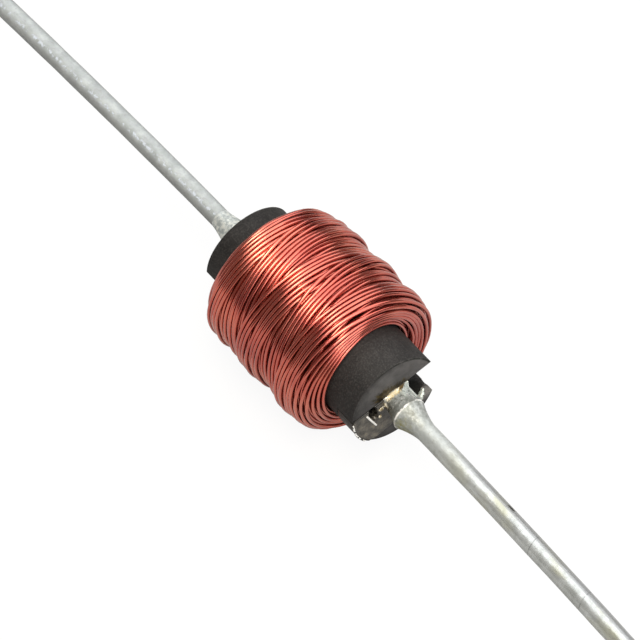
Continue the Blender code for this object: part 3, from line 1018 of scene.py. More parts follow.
def shaded_inner_copper_material():
    """Painted shade: copper that little light reaches, the same red made darker and duller."""
    material, tree, shader = new_material("inner_copper")
    colour = ramp(tree, noise(tree, object_place(tree), 0.0004), (
        (0.3, (0.10, 0.015, 0.010)),
        (0.7, (0.20, 0.035, 0.022)),
    ))
    give_all(tree, shader, {"Base Color": colour, "Metallic": 0.6, "Roughness": 0.5})
    return material


add_piece("coil_inner_layers", coil_body(), shaded_inner_copper_material(), ["winding"])

# %% [markdown]
# ## The ferrite rod
#
# The core is pressed and sintered ferrite, with a slot across each end and a blind bore for the
# lead in each slot's floor. A rod without slots could be spun from a profile. With them, cutting
# is the shortest way: blades are taken from a plain cylinder, as a grinding wheel does it. The
# sizes are the model's, with more facets.

# %% Blank and blades
ROD_SIDES = 192
BORE_RADIUS = 0.00056
BORE_FLOOR = SLOT_FLOOR - 0.0019


def turn_about(shape, angle, axis):
    bmesh.ops.rotate(shape, cent=(0, 0, 0), matrix=Matrix.Rotation(angle, 3, axis), verts=shape.verts)


def lying_cylinder(radius, first, last):
    """A cylinder on the X axis from a first to a last place."""
    shape = bmesh.new()
    bmesh.ops.create_cone(
        shape, cap_ends=True, segments=ROD_SIDES, radius1=radius, radius2=radius, depth=last - first
    )
    turn_about(shape, math.pi / 2, "Y")
    bmesh.ops.translate(shape, vec=((first + last) / 2, 0, 0), verts=shape.verts)
    return shape


def slot_blade(end):
    shape = bmesh.new()
    bmesh.ops.create_cube(shape, size=1.0)
    bmesh.ops.scale(shape, vec=(2 * SLOT_DEPTH, 3 * ROD_RADIUS, SLOT_WIDTH), verts=shape.verts)
    bmesh.ops.translate(shape, vec=(end * HALF_ROD, 0, -SLOT_OFFSET), verts=shape.verts)
    turn_about(shape, SLOT_TURN, "X")
    return shape


def bore_blade(end):
    first, last = sorted((end * BORE_FLOOR, end * (HALF_ROD + SLOT_DEPTH)))
    return lying_cylinder(BORE_RADIUS, first, last)


print("bore floor is behind the end face by, mm:", round((HALF_ROD - BORE_FLOOR) * 1000, 2))

# %% [markdown]
# A cut is a Boolean modifier. Modifiers belong to objects, so blank and blades become objects for a
# moment; the finished mesh is read from the evaluated blank, and the helpers are thrown away.

# %% Cutting
def as_object(name, shape):
    return in_scene(name, as_mesh(name, shape))


def discard(holder):
    """An object goes, and its mesh with it."""
    mesh = holder.data
    bpy.data.objects.remove(holder)
    bpy.data.meshes.remove(mesh)


def evaluated_mesh(name, holder):
    """The mesh an object has after its modifiers; the object itself goes."""
    made = bpy.data.meshes.new_from_object(holder.evaluated_get(bpy.context.evaluated_depsgraph_get()))
    made.name = name
    discard(holder)
    return made


def cut_away(shape, blades):
    """What is left of a shape when the blades are cut from it."""
    blank = as_object("blank", shape)
    cutters = [as_object("cutter", blade) for blade in blades]
    for cutter in cutters:
        cutting = blank.modifiers.new("cut", "BOOLEAN")
        cutting.object = cutter
        cutting.solver = "EXACT"
    left = bmesh.new()
    take_in(left, evaluated_mesh("ferrite_rod", blank))
    for cutter in cutters:
        discard(cutter)
    return left


# %% [markdown]
# The edges are broken with a small bevel, and then the corner of the far half is chipped: small
# ellipsoids are cut from it, in the slot's directions. Last, the front face leans by two and a half
# degrees, so that its far edge stands out a little; only the corners near that face move.

# %% The rod
FERRITE_EDGE = 0.000045
SHARP_EDGE = math.radians(30)
CHIPS = (
    ((HALF_ROD - 0.00042, 0.00166, -0.00113), (0.00030, 0.00021, 0.00016)),
    ((HALF_ROD - 0.00088, 0.00164, -0.00112), (0.00024, 0.00018, 0.00013)),
    ((HALF_ROD + 0.00004, 0.00168, -0.00122), (0.00010, 0.00016, 0.00016)),
    ((HALF_ROD + 0.00006, 0.00200, 0.00042), (0.00016, 0.00012, 0.00020)),
)


def chip_blade(centre, sizes):
    """An ellipsoid at a place along X, along the slot and across it."""
    shape = bmesh.new()
    bmesh.ops.create_icosphere(shape, subdivisions=3, radius=1.0)
    for corner in shape.verts:
        x, along, across = (c + s * v for c, s, v in zip(centre, sizes, corner.co))
        corner.co = Vector((x, 0, 0)) + SLOT_ALONG * along + SLOT_ACROSS * across
    return shape


def ferrite_rod():
    """The blank with its slots, bores, broken edges, chips and leaning face."""
    blades = [slot_blade(end) for end in (1, -1)] + [bore_blade(end) for end in (1, -1)]
    shape = cut_away(lying_cylinder(ROD_RADIUS, -HALF_ROD, HALF_ROD), blades)
    sharp = [edge for edge in shape.edges if edge.is_manifold and edge.calc_face_angle() > SHARP_EDGE]
    bmesh.ops.bevel(
        shape,
        geom=sharp,
        offset=FERRITE_EDGE,
        affect="EDGES",
        segments=3,
        profile=0.5,
        material=-1,
        clamp_overlap=True,
    )
    print("edges broken:", len(sharp))
    shape = cut_away(shape, [chip_blade(*chip) for chip in CHIPS])
    for corner in shape.verts:
        if corner.co.x > HALF_ROD - 2 * FERRITE_EDGE:
            corner.co.x += face_shift(corner.co)
    bmesh.ops.translate(shape, vec=ROD_MIDDLE, verts=shape.verts)
    bmesh.ops.triangulate(shape, faces=shape.faces)
    mesh = as_mesh("ferrite_rod", shape)
    mesh.shade_smooth()
    mesh.set_sharp_from_angle(angle=SHARP_EDGE)
    return mesh


rod_mesh = ferrite_rod()

# %% [markdown]
# Ferrite is matt and near black with a fine grain, and its ground end faces are lighter than the
# pressed side. Each could be a material of its own on its own faces, but the bevel between them
# would then show a hard line. One material tells them apart by place instead: how far a point lies
# before the face, to the right of the axis and out from it. The front face has a dark, broken rim,
# and beside the solder its near half is stained brown by flux.

# %% Where a point lies on the rod
FACE_DEPTH = 0.00003
UNLIMITED = 1000


def slot_spot(tree, place, x, along_across, sizes, edge, ragged=0.0):
    """A spot given in the slot's directions."""
    centre = in_slot(1, x, *along_across)
    return spot(tree, place, centre, sizes, edge, ragged, SLOT_TURN)


def on_end_faces(tree, place):
    """One on both end faces and none on the side; the front face is a leaning plane."""
    face_way = Vector((1, 0, 0)) + NEAR_SIDE * FACE_LEAN
    before_front = joined(
        tree, "SUBTRACT", along_direction(tree, place, face_way), face_way.dot(ROD_MIDDLE) + HALF_ROD
    )
    behind_rear = joined(tree, "SUBTRACT", product(tree, along_axes(tree, place)["X"], -1), HALF_ROD)
    return span(tree, greatest(tree, before_front, behind_rear), -FACE_DEPTH, -FACE_DEPTH / 3, 0.0, 1.0)


def to_the_right(tree, place):
    """How far a place lies to the right of the rod's axis, as the camera sees it."""
    return joined(tree, "SUBTRACT", along_direction(tree, place, RIGHT_SIDE), RIGHT_SIDE.dot(ROD_MIDDLE))


def from_axis(tree, place):
    """Distance from the rod's axis as a share of the rod's radius."""
    return share_of_way_out(tree, place, ROD_MIDDLE, (UNLIMITED, ROD_RADIUS, ROD_RADIUS))


# %% [markdown]
# With those places the finish is layered: side, lighter face, dark rim, a few pale grains, the
# chipped tip, painted shade in the hollow under the solder, and the brown flux on top. Flux is
# smoother than the bare grain, so the stains are also less rough.

# %% Ferrite finish
SIDE_TONES = ((0.30, (0.0115, 0.0110, 0.0112)), (0.70, (0.0225, 0.0213, 0.0215)))
FACE_TONES = ((0.30, (0.060, 0.058, 0.058)), (0.70, (0.112, 0.108, 0.108)))
FLUX_BROWNS = (
    (0.36, (0.012, 0.009, 0.004)),
    (0.52, (0.036, 0.027, 0.011)),
    (0.72, (0.11, 0.085, 0.035)),
)
RIM_COLOUR = (0.008, 0.009, 0.007)
RIM_INSIDE = 1 - 0.055
GRAIN_COLOUR = (0.10, 0.096, 0.093)
FAR_TIP = (HALF_ROD - 0.00005, (0.00140, -0.00122), (0.00030, 0.00034, 0.0002), 0.4, 0.4)
FAR_TIP_COLOUR = (0.15, 0.148, 0.145)
# Painted shade: the hollow under the solder.
HOLLOW_SHADE = (HALF_ROD - 0.00050, (0.00112, -0.00122), (0.00038, 0.00030, 0.0004), 0.2, 0.2)
HOLLOW_SHADE_COLOUR = (0.003, 0.003, 0.002)
FLUX_STAINS = (
    (HALF_ROD, (-0.00034, 0.00070), (0.0004, 0.00044, 0.00030), 0.30, 0.4),
    (HALF_ROD, (0.00030, 0.00052), (0.0004, 0.00050, 0.00026), 0.30, 0.4),
)


def ferrite_look():
    """Near black on the side, grey on the ends, with a broken rim, brown stains and painted shade in the
    hollow under the solder.
    """
    material, tree, shader = new_material("ferrite")
    place = object_place(tree)
    patches = noise(tree, place, 0.0005, detail=5.0)
    grain = noise(tree, place, 0.00007, detail=2.0)
    on_face = on_end_faces(tree, place)
    rightwards = to_the_right(tree, place)
    outwards = from_axis(tree, place)
    left_dark = span(tree, rightwards, -0.0017, -0.0004, 0.30, 1.0)
    fading_out = span(tree, outwards, 0.84, 0.99, 1.0, 0.30)
    soft_rim = greatest(tree, fading_out, span(tree, rightwards, 0.0, 0.0012, 0.0, 1.0))
    rim = span(tree, outwards, RIM_INSIDE, (1 + RIM_INSIDE) / 2, 0.0, 1.0)
    broken = span(tree, noise(tree, place, 0.00030, detail=2.0), 0.36, 0.46, 0.3, 0.95)
    on_right = span(tree, rightwards, -0.0004, 0.0003, 0.0, 1.0)
    stain = greatest(tree, *(slot_spot(tree, place, *flux) for flux in FLUX_STAINS))
    colour = layered(
        tree,
        ramp(tree, patches, SIDE_TONES),
        (product(tree, on_face, left_dark, soft_rim), ramp(tree, patches, FACE_TONES)),
        (product(tree, rim, broken, on_face, on_right), RIM_COLOUR),
        (span(tree, grain, 0.45, 0.75, 0.0, 0.30), GRAIN_COLOUR),
        (product(tree, slot_spot(tree, place, *FAR_TIP), 0.9), FAR_TIP_COLOUR),
        # Painted shade: the hollow under the solder is painted near black.
        (slot_spot(tree, place, *HOLLOW_SHADE), HOLLOW_SHADE_COLOUR),
        (product(tree, stain, on_face), ramp(tree, noise(tree, place, 0.00022, detail=3.0), FLUX_BROWNS)),
    )
    give_all(tree, shader, {
        "Base Color": colour,
        "Roughness": span(tree, stain, 0.0, 1.0, 0.62, 0.40),
        "Specular IOR Level": span(tree, stain, 0.0, 1.0, 0.28, 0.12),
    })
    bump(tree, shader, grain, 0.000012, 0.6)
    return material


add_piece("ferrite_rod", rod_mesh, ferrite_look(), ["ferrite_core"])

# %% [markdown]
# ## The leads
#
# Each lead is copper wire, dipped in tin, straightened by hand and never quite straight. It could be
# a plain cylinder, but its outline would look like a drawn line. So a round bar is swept through the
# middles of the rings that the model's lead is made of, which keeps its gentle bends, and its
# radius swells and shrinks by about one per cent.

# %% The leads' shape
LEAD_RADIUS = 0.000405
LEAD_SIDES = 40
LEAD_STEP = 0.00015
RING_GAP = 0.0002
DENT_SHARE = 0.006
MOST_SWELLING = 1.01


def ring_middles(node):
    """The middles of the rings of vertices that a model lead is made of, along X."""
    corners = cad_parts[node].data.vertices
    places = sorted({tuple(round(v, 7) for v in corner.co) for corner in corners})
    rings = [[places[0]]]
    for before, now in zip(places, places[1:]):
        if now[0] - before[0] > RING_GAP:
            rings.append([])
        rings[-1].append(now)
    return np.array([np.mean(ring, axis=0) for ring in rings])


def lead_bar(name, node, seed):
    """A lead as one round bar with slight dents, through the middles of the model's rings."""
    middles = ring_middles(node)
    count = int((middles[-1, 0] - middles[0, 0]) / LEAD_STEP)
    along = np.linspace(middles[0, 0], middles[-1, 0], count)
    sideways = [softened(np.interp(along, middles[:, 0], middles[:, axis]), 12) for axis in (1, 2)]
    dents = 1 + DENT_SHARE * smooth_random(count, 7, np.random.default_rng(seed))
    points = [Vector(place) for place in zip(along, *sideways)]
    print(name, "length, mm:", round((along[-1] - along[0]) * 1000, 2))
    return round_bar(name, points, LEAD_RADIUS, LEAD_SIDES, np.minimum(dents, MOST_SWELLING))


# %% [markdown]
# Dipped tin is pale and dull, mottled by handling and streaked along the wire. A plain metal would
# mirror the white floor, so the tin is only half metallic and gets its tones from noise. Its marks
# are painted where the photo shows them: two slanted scratches and a dark speck. Light is painted
# too: bands of painted shade along the front lead's sides, painted shade on the rear lead's lower
# left third and upper right edge, and painted glints in a line along the rear one, whose skin is
# bluer.

# %% Tin's colours and marks
FRONT_TIN = (
    (0.34, (0.47, 0.500, 0.495)),
    (0.50, (0.60, 0.635, 0.645)),
    (0.66, (0.72, 0.760, 0.780)),
)
REAR_TIN = (
    (0.36, (0.36, 0.400, 0.430)),
    (0.50, (0.49, 0.535, 0.570)),
    (0.62, (0.64, 0.690, 0.725)),
)
TIN_BLUE = (0.48, 0.50, 0.60)
TIN_BY_CONE = (0.42, 0.455, 0.44)
TIN_OLIVE = (0.50, 0.50, 0.32)
TIN_FRECKLE = (0.30, 0.31, 0.28)
TIN_STREAK = (0.32, 0.33, 0.30)
# Colours of painted shade along the leads' sides, and of the rear lead's painted glints.
RIGHT_BAND_SHADE = (0.32, 0.33, 0.35)
LEFT_BAND_SHADE = (0.38, 0.40, 0.40)
REAR_SHADE = (0.31, 0.32, 0.32)
GLINT_COLOUR = (0.80, 0.88, 1.0)
GLINT_OFFSET = 0.15
MARK_COLOUR = (0.03, 0.03, 0.025)
SPECK_X = 0.01135
SPECK_TURN = math.radians(62)
SPECK_SIZE = (0.00019, 0.00007, 0.00007)
SCRATCHES_X = (0.01303, 0.01612)
SCRATCH_SLANT = 0.25
SCRATCH_WIDTH = 0.00003


def on_lead(node, x, turn):
    """A place on a lead's skin, at an angle round it."""
    middles = ring_middles(node)
    middle = Vector((x, *(float(np.interp(x, middles[:, 0], middles[:, axis])) for axis in (1, 2))))
    return middle + side_at(turn) * LEAD_RADIUS


def dark_marks(tree, place, axes, streaks):
    """The speck and the two scratches on the front lead."""
    speck = spot(tree, place, speck_at, SPECK_SIZE, 0.2, 0.2)
    slanted = joined(tree, "ADD", axes["X"], product(tree, axes["Y"], SCRATCH_SLANT))
    lines = [
        span(tree, apart(tree, slanted, x), SCRATCH_WIDTH / 2, SCRATCH_WIDTH, 1.0, 0.0)
        for x in SCRATCHES_X
    ]
    scratch = product(tree, greatest(tree, *lines), span(tree, streaks, 0.40, 0.55, 0.05, 0.45))
    return greatest(tree, speck, scratch)


def glint_line(tree, rightward, grain):
    """Painted glints: short bright spots in a line along the rear lead, a little left of its middle."""
    near_line = span(tree, apart(tree, rightward, -GLINT_OFFSET), 0.05, 0.24, 1.0, 0.0)
    return product(tree, near_line, span(tree, grain, 0.50, 0.60, 0.0, 0.65))


speck_at = on_lead("front_lead", SPECK_X, SPECK_TURN)
print("speck on the front lead, mm:", [round(v * 1000, 2) for v in speck_at])

# %% [markdown]
# The finish is painted from the ground up: first the two tins, then what dulls and tints them, then
# the painted shade and painted glints by the way the skin faces, and the marks last, so that they lie
# on top. The speck and the scratches are dark paint only; cut into the mesh they would need far
# finer facets.

# %% Tin finish, and both leads
def tin_look():
    """Dull tin: pale, mottled, streaked along the wire, with the marks that the photo shows, and painted
    shade and glints by the way the skin faces.
    """
    material, tree, shader = new_material("dull_tin")
    place = object_place(tree)
    streaks = noise(tree, object_place(tree, (0.2, 1, 1)), 0.00020, detail=6.0, roughness=0.65)
    patches = noise(tree, place, 0.0006, detail=5.0, roughness=0.65)
    fine = noise(tree, place, 0.00016, detail=3.0)
    warm = noise(tree, object_place(tree, (0.4, 1, 1)), 0.0012, detail=3.0)
    axes = along_axes(tree, place)
    at_front = span(tree, axes["X"], -0.001, 0.001, 0.0, 1.0)
    at_rear = joined(tree, "SUBTRACT", 1.0, at_front)
    past_cone = span(tree, axes["X"], 0.0075, 0.0100, 0.0, 1.0)
    surface = add_node(tree, "ShaderNodeNewGeometry")
    rightward = along_direction(tree, surface.outputs["Normal"], RIGHT_SIDE)
    low_third = span(tree, rightward, -0.35, -0.60, 0.0, 0.45)
    thin_edge = span(tree, rightward, 0.80, 0.95, 0.0, 0.55)
    rear_tin = mix(tree, span(tree, fine, 0.46, 0.60, 0.0, 0.55), ramp(tree, patches, REAR_TIN), TIN_BLUE)
    colour = layered(
        tree,
        rear_tin,
        (at_front, ramp(tree, patches, FRONT_TIN)),
        (span(tree, axes["X"], 0.0095, 0.0068, 0.0, 0.45), TIN_BY_CONE),
        (product(tree, span(tree, warm, 0.48, 0.60, 0.0, 0.55), past_cone), TIN_OLIVE),
        (span(tree, fine, 0.56, 0.70, 0.0, 0.35), TIN_FRECKLE),
        (span(tree, streaks, 0.60, 0.70, 0.0, 0.35), TIN_STREAK),
        # Painted shade: darker bands on the front lead's right and left sides, and on the rear lead's lower
        # third and upper edge.
        (product(tree, span(tree, rightward, 0.46, 0.56, 0.0, 0.75), past_cone), RIGHT_BAND_SHADE),
        (product(tree, span(tree, rightward, -0.14, -0.30, 0.0, 0.35), past_cone), LEFT_BAND_SHADE),
        (product(tree, greatest(tree, low_third, thin_edge), at_rear), REAR_SHADE),
        # Painted glints in a line along the rear lead.
        (product(tree, glint_line(tree, rightward, fine), at_rear), GLINT_COLOUR),
        (dark_marks(tree, place, axes, streaks), MARK_COLOUR),
    )
    far_along = span(tree, axes["X"], 0.0065, 0.0110, -0.06, 0.20)
    dull = joined(tree, "SUBTRACT", span(tree, streaks, 0.35, 0.65, 0.38, 0.52), far_along)
    give_all(tree, shader, {
        "Base Color": colour,
        "Metallic": span(tree, at_front, 0.0, 1.0, 0.45, 0.52),
        "Roughness": joined(tree, "ADD", dull, span(tree, at_front, 0.0, 1.0, 0.18, 0.0)),
    })
    bump(tree, shader, joined(tree, "ADD", streaks, patches), 0.000018, 0.7)
    return material


tin = tin_look()
for side, seed in (("front", 3), ("rear", 7)):
    bar = lead_bar(side + "_lead_wire", side + "_lead", seed)
    add_piece(side + "_lead_wire", bar, tin, [side + "_lead"])

# %% [markdown]
# ## Solder
#
# The lead was dipped: solder climbs it as a cone with a sharp rim, and runs down into the slot as
# a foot. In front the foot stops short of the slot's right mouth, with a thin bright lip over a
# dark hollow, and from there its edge slopes down the far wall. Liquid metal has no edges of its
# own, and modelling it as one surface would be hard to steer. So each part of it is a simple shape,
# and together they are melted into one skin of even facets, which also rounds them off.

# %% One skin over overlapping shapes
def remeshed(name, shape, grain, smoothing):
    """Overlapping closed shapes melted into one skin, whose facets are one grain wide."""
    holder = as_object(name, shape)
    skin = holder.modifiers.new("skin", "REMESH")
    skin.mode = "VOXEL"
    skin.voxel_size = grain
    soften = holder.modifiers.new("soften", "SMOOTH")
    soften.factor = 0.5
    soften.iterations = smoothing
    made = evaluated_mesh(name, holder)
    made.shade_smooth()
    print(name, "facets:", len(made.polygons), "of", grain * 1000, "mm")
    return made


# %% [markdown]
# The cone is spun from its outline: a neck in the slot, a rim that overhangs it, and above the rim
# a curve that thins out to a film on the lead.

# %% The cone
FILM_END = -0.000030
CONE_LENGTH = 0.0015
CONE_STEPS = 12
NECK_WITHIN_RIM = 0.00027
CONE_CURVE = 2.1
CONE_SIDES = 64


def cone_profile(rim, rim_height):
    """From the slot's floor up the neck, round the rim and up the cone to the film on the lead."""
    film = LEAD_RADIUS + FILM_END
    neck = max(rim - NECK_WITHIN_RIM, LEAD_RADIUS + 0.00003)
    rim_x = HALF_ROD + rim_height
    shares = [i / CONE_STEPS for i in range(1, CONE_STEPS + 1)]
    up = [(rim_x + CONE_LENGTH * share, film + (rim - film) * (1 - share) ** CONE_CURVE) for share in shares]
    return [
        (SLOT_FLOOR + 0.0001, LEAD_RADIUS / 2),
        (SLOT_FLOOR + 0.0001, neck),
        (HALF_ROD, neck),
        (HALF_ROD + rim_height * 0.5, neck + (rim - neck) * 0.40),
        (HALF_ROD + rim_height * 0.85, rim - 0.00005),
        (rim_x, rim),
        *up,
        (rim_x + CONE_LENGTH, LEAD_RADIUS / 2),
    ]


def solder_cone(end, rim, rim_height):
    profile = [(end * x, radius) for x, radius in cone_profile(rim, rim_height)]
    shape = turned_solid(profile, CONE_SIDES)
    bmesh.ops.translate(shape, vec=ROD_MIDDLE, verts=shape.verts)
    return as_mesh("cone", shape)


print("thinnest film over the lead, mm:", round(FILM_END * 1000, 3))

# %% [markdown]
# The front foot fills the slot from the resin to the lip. It is a cube cut into a grid, and each
# of its corners is carried to a place in the slot, because a box with straight sides couldn't follow
# the lip's curve. It rises a little where it wets the neck.

# %% The foot
SLOT_SKIN = 0.00002
NEAR_WALL = SLOT_WIDTH / 2 - SLOT_OFFSET - SLOT_SKIN
FAR_WALL = -SLOT_WIDTH / 2 - SLOT_OFFSET + SLOT_SKIN
LIP_PLACES = (
    (-0.00118, 0.00098),
    (-0.00091, 0.00088),
    (-0.00038, 0.00077),
    (0.00005, 0.00069),
    (0.00031, 0.00072),
    (0.00046, 0.00074),
)
FOOT_LEFT = -0.00048
FOOT_BELOW_FACE = 0.00004
FOOT_CUTS = 16
FILLET_FROM = 0.00042
FILLET_REACH = 0.00026
FILLET_HEIGHT = 0.00016


def block(cuts, placed):
    """A cube cut into a grid, each corner carried to a place by its three shares from 0 to 1."""
    shape = bmesh.new()
    bmesh.ops.create_cube(shape, size=1.0)
    bmesh.ops.subdivide_edges(shape, edges=shape.edges, cuts=cuts, use_grid_fill=True)
    for corner in shape.verts:
        corner.co = placed(*(share + 0.5 for share in corner.co))
    bmesh.ops.recalc_face_normals(shape, faces=shape.faces)
    return shape


def foot_place(up, across_share, along_share):
    """The front foot: from the resin to the lip, a little higher round the neck."""
    across = FAR_WALL + across_share * (NEAR_WALL - FAR_WALL)
    lip = float(np.interp(across, *zip(*LIP_PLACES)))
    along = FOOT_LEFT + along_share * (lip - FOOT_LEFT)
    near_neck = min(max(1 - (math.hypot(along, across) - FILLET_FROM) / FILLET_REACH, 0.0), 1.0)
    top = HALF_ROD - FOOT_BELOW_FACE + FILLET_HEIGHT * near_neck ** 2
    return in_slot(1, SLOT_FLOOR + SLOT_SKIN + up * (top - SLOT_FLOOR), along, across)


print("foot across the slot, mm:", round((NEAR_WALL - FAR_WALL) * 1000, 2))

# %% [markdown]
# What is left are the small forms that catch the light. Drops are ellipsoids and edges are thin
# bars, each at a place read from the photo: a height along X, a place along the slot and one across
# it. The front has a curled film at the far wall, four drops beside the neck, the lip, a streak
# before the neck, and two runs of solder at the slot's left mouth. Nobody sees the rear slot.

# %% Drops and edges
BALL_SEGMENTS = (32, 24)
BAR_SIDES = 12
BAR_STEPS = 6
FRONT_BALLS = (
    ((HALF_ROD - 0.00006, 0.00100, -0.00120), (0.00014, 0.00013, 0.00007)),
    ((HALF_ROD - 0.00014, 0.00115, -0.00120), (0.00013, 0.00012, 0.00007)),
    ((HALF_ROD - 0.00024, 0.00128, -0.00120), (0.00010, 0.00008, 0.00006)),
    ((HALF_ROD + 0.00002, -0.00064, 0.00008), (0.00009, 0.00014, 0.00009)),
    ((HALF_ROD + 0.00000, -0.00080, -0.00030), (0.00010, 0.00009, 0.00012)),
    ((HALF_ROD - 0.00002, -0.00066, -0.00013), (0.00006, 0.00006, 0.00014)),
    ((HALF_ROD + 0.00010, -0.00042, 0.00015), (0.00010, 0.00008, 0.00009)),
)
LIP = tuple((HALF_ROD + 0.00001, along, across) for across, along in LIP_PLACES)
STREAK = (
    (HALF_ROD + 0.00004, -0.00034, 0.00034),
    (HALF_ROD + 0.00009, -0.00010, 0.00042),
    (HALF_ROD + 0.00009, 0.00014, 0.00042),
    (HALF_ROD + 0.00004, 0.00038, 0.00033),
)
SPILL = (
    (HALF_ROD + 0.00003, -0.00129, 0.00030),
    (HALF_ROD + 0.00005, -0.00118, -0.00018),
    (HALF_ROD + 0.00003, -0.00106, -0.00066),
)
MOUTH_EDGE = (
    (HALF_ROD + 0.00003, -0.00193, 0.00036),
    (HALF_ROD + 0.00005, -0.00197, -0.00020),
    (HALF_ROD + 0.00005, -0.00188, -0.00064),
    (HALF_ROD + 0.00003, -0.00172, -0.00104),
)
FRONT_BARS = ((LIP, 0.000045), (STREAK, 0.000045), (SPILL, 0.000048), (MOUTH_EDGE, 0.000042))
REAR_BALLS = (
    ((SLOT_FLOOR, 0.0, -SLOT_OFFSET), (0.0009, 0.00098, 0.0016)),
    ((HALF_ROD - 0.00008, 0.0006, 0.0002), (0.00014, 0.00014, 0.00012)),
)


def place_ball(shape, end, centre, sizes):
    """An ellipsoid in the slot's directions: depth, along, across; cut flat at walls and floor."""
    around, upwards = BALL_SEGMENTS
    made = bmesh.ops.create_uvsphere(shape, u_segments=around, v_segments=upwards, radius=1.0)
    for corner in made["verts"]:
        depth, along, across = (c + s * v for c, s, v in zip(centre, sizes, corner.co))
        depth = max(depth, SLOT_FLOOR + SLOT_SKIN)
        if depth < HALF_ROD:
            across = min(max(across, FAR_WALL), NEAR_WALL)
        corner.co = in_slot(end, depth, along, across)


def place_bar(shape, end, corners, radius):
    """A round bar through corners given in the slot's directions."""
    points = smooth_path([in_slot(end, *corner) for corner in corners], BAR_STEPS)
    take_in(shape, round_bar("bar", points, radius, BAR_SIDES))


print("drops in front:", len(FRONT_BALLS), "edges in front:", len(FRONT_BARS))

# %% [markdown]
# All of an end's shapes go into one bmesh and become one skin. It is fine enough for the lip, which
# is 0.09 mm thick. The two solder meshes wait for their finish.

# %% Both solder joints
SOLDER_GRAIN = 0.000025
FRONT_RIM = (0.00072, 0.0009)
REAR_RIM = (0.00062, 0.00075)


def solder_shape(name, end, rim, balls, bars):
    """One end's foot, cone, drops and edges in one skin."""
    shape = bmesh.new()
    if end > 0:
        take_in(shape, as_mesh("foot", block(FOOT_CUTS, foot_place)))
    take_in(shape, solder_cone(end, *rim))
    for centre, sizes in balls:
        place_ball(shape, end, centre, sizes)
    for corners, radius in bars:
        place_bar(shape, end, corners, radius)
    bmesh.ops.recalc_face_normals(shape, faces=shape.faces)
    return remeshed(name, shape, SOLDER_GRAIN, 3)


front_joint = solder_shape("front_solder_joint", 1, FRONT_RIM, FRONT_BALLS, FRONT_BARS)
rear_joint = solder_shape("rear_solder_joint", -1, REAR_RIM, REAR_BALLS, ())

# %% [markdown]
# Fresh solder is bright, but this one is uneven: grey and flecked in the slot, golden where flux lies
# on it, chalky at the rear, and as dull as the lead up the cone. Light is painted on it too: a pale
# painted sheen on the neck, painted brown shade on the neck's left side, and painted highlights and
# glints on the lip, the gold, the drops, the spill, the slot's left mouth and the cone's rim. A
# picture could be laid on it, but wouldn't keep its sharpness close up. So it is painted by places:
# each spot is a height, a place along and across the slot, half sizes, a softness and a raggedness.

# %% Solder's colours
SOLDER_TONES = (
    (0.33, (0.25, 0.265, 0.245)),
    (0.50, (0.38, 0.405, 0.395)),
    (0.68, (0.56, 0.595, 0.595)),
)
# A pale painted sheen on the neck's lit upper right.
NECK_SHEEN = (HALF_ROD + 0.0001, (0.00042, 0.00010), (0.0005, 0.00055, 0.00060), 0.45, 0.3)
NECK_SHEEN_COLOUR = (0.76, 0.83, 0.81)
LIGHT_FLECK = (0.93, 0.95, 0.94)
DARK_FLECK = (0.17, 0.165, 0.14)
# Painted shade, tinted brown, on the neck's left side.
NECK_LEFT_SHADE = (HALF_ROD + 0.00030, (-0.00046, -0.00020), (0.00056, 0.00042, 0.00060), 0.45, 0.35)
NECK_LEFT_SHADE_COLOUR = (0.060, 0.052, 0.030)
# A painted highlight along the lip.
LIP_SHINE = (HALF_ROD + 0.00002, (0.00080, -0.00030), (0.00008, 0.00012, 0.00085), 0.25)
LIP_SHINE_COLOUR = (0.88, 0.93, 0.90)
FAR_FILM = (HALF_ROD - 0.00010, (0.00115, -0.00122), (0.00030, 0.00034, 0.00012), 0.2, 0.1)
FAR_FILM_COLOUR = (0.66, 0.72, 0.66)
CHALK = ((0.40, (0.50, 0.55, 0.56)), (0.50, (0.70, 0.76, 0.76)), (0.60, (0.94, 0.97, 0.93)))
COLLAR_COLOUR = (0.94, 0.98, 0.86)
FRONT_LEAD_TONE = (0.48, 0.515, 0.515)
REAR_LEAD_TONE = (0.49, 0.535, 0.565)
OLD_FLUX = (HALF_ROD + 0.0012, (-0.00055, -0.0001), (0.00045, 0.00035, 0.0005), 0.5, 0.5)
OLD_FLUX_COLOUR = (0.27, 0.26, 0.12)
# Golden flux, whose palest tones are a painted shine.
GOLDEN_FLUX_AND_SHINE = (HALF_ROD + 0.00008, (0.00002, 0.00044), (0.00012, 0.00042, 0.00011), 0.4, 0.5)
GOLD_AND_SHINE_TONES = ((0.34, (0.55, 0.38, 0.14)), (0.48, (0.92, 0.78, 0.48)), (0.62, (1.0, 0.94, 0.80)))
BRONZE = (HALF_ROD + 0.00003, (0.00046, 0.00042), (0.00016, 0.00016, 0.00014), 0.35, 0.4)
BRONZE_COLOUR = (0.13, 0.085, 0.025)
DROPS = (HALF_ROD, (-0.00071, -0.00015), (0.0003, 0.00020, 0.00040), 0.15)
PEARL = (HALF_ROD + 0.00010, (-0.00042, 0.00015), (0.00018, 0.00012, 0.00012), 0.3, 0.2)
# Cream drops whose palest tones are painted glints.
CREAM_AND_GLINT_TONES = ((0.40, (0.26, 0.20, 0.10)), (0.50, (0.68, 0.60, 0.43)), (0.60, (1.0, 0.96, 0.87)))
# Painted glints: white on the spill, black and white dashes at the slot's left mouth, and a white line on
# the cone's rim.
SPILL_SHINE = (HALF_ROD, (-0.00125, -0.00025), (0.0004, 0.00028, 0.0008), 0.1)
MOUTH_SHINE = (HALF_ROD, (-0.00190, -0.0003), (0.0004, 0.00034, 0.0010), 0.1)
PAINTED_GLINT_WHITE = (1.0, 1.0, 0.98)
GLINT_DASHES = ((0.43, (0.015, 0.015, 0.012)), (0.48, PAINTED_GLINT_WHITE))
RIM_X = HALF_ROD + FRONT_RIM[1]
print("rim of the front cone stands before the face by, mm:", round(FRONT_RIM[1] * 1000, 2))
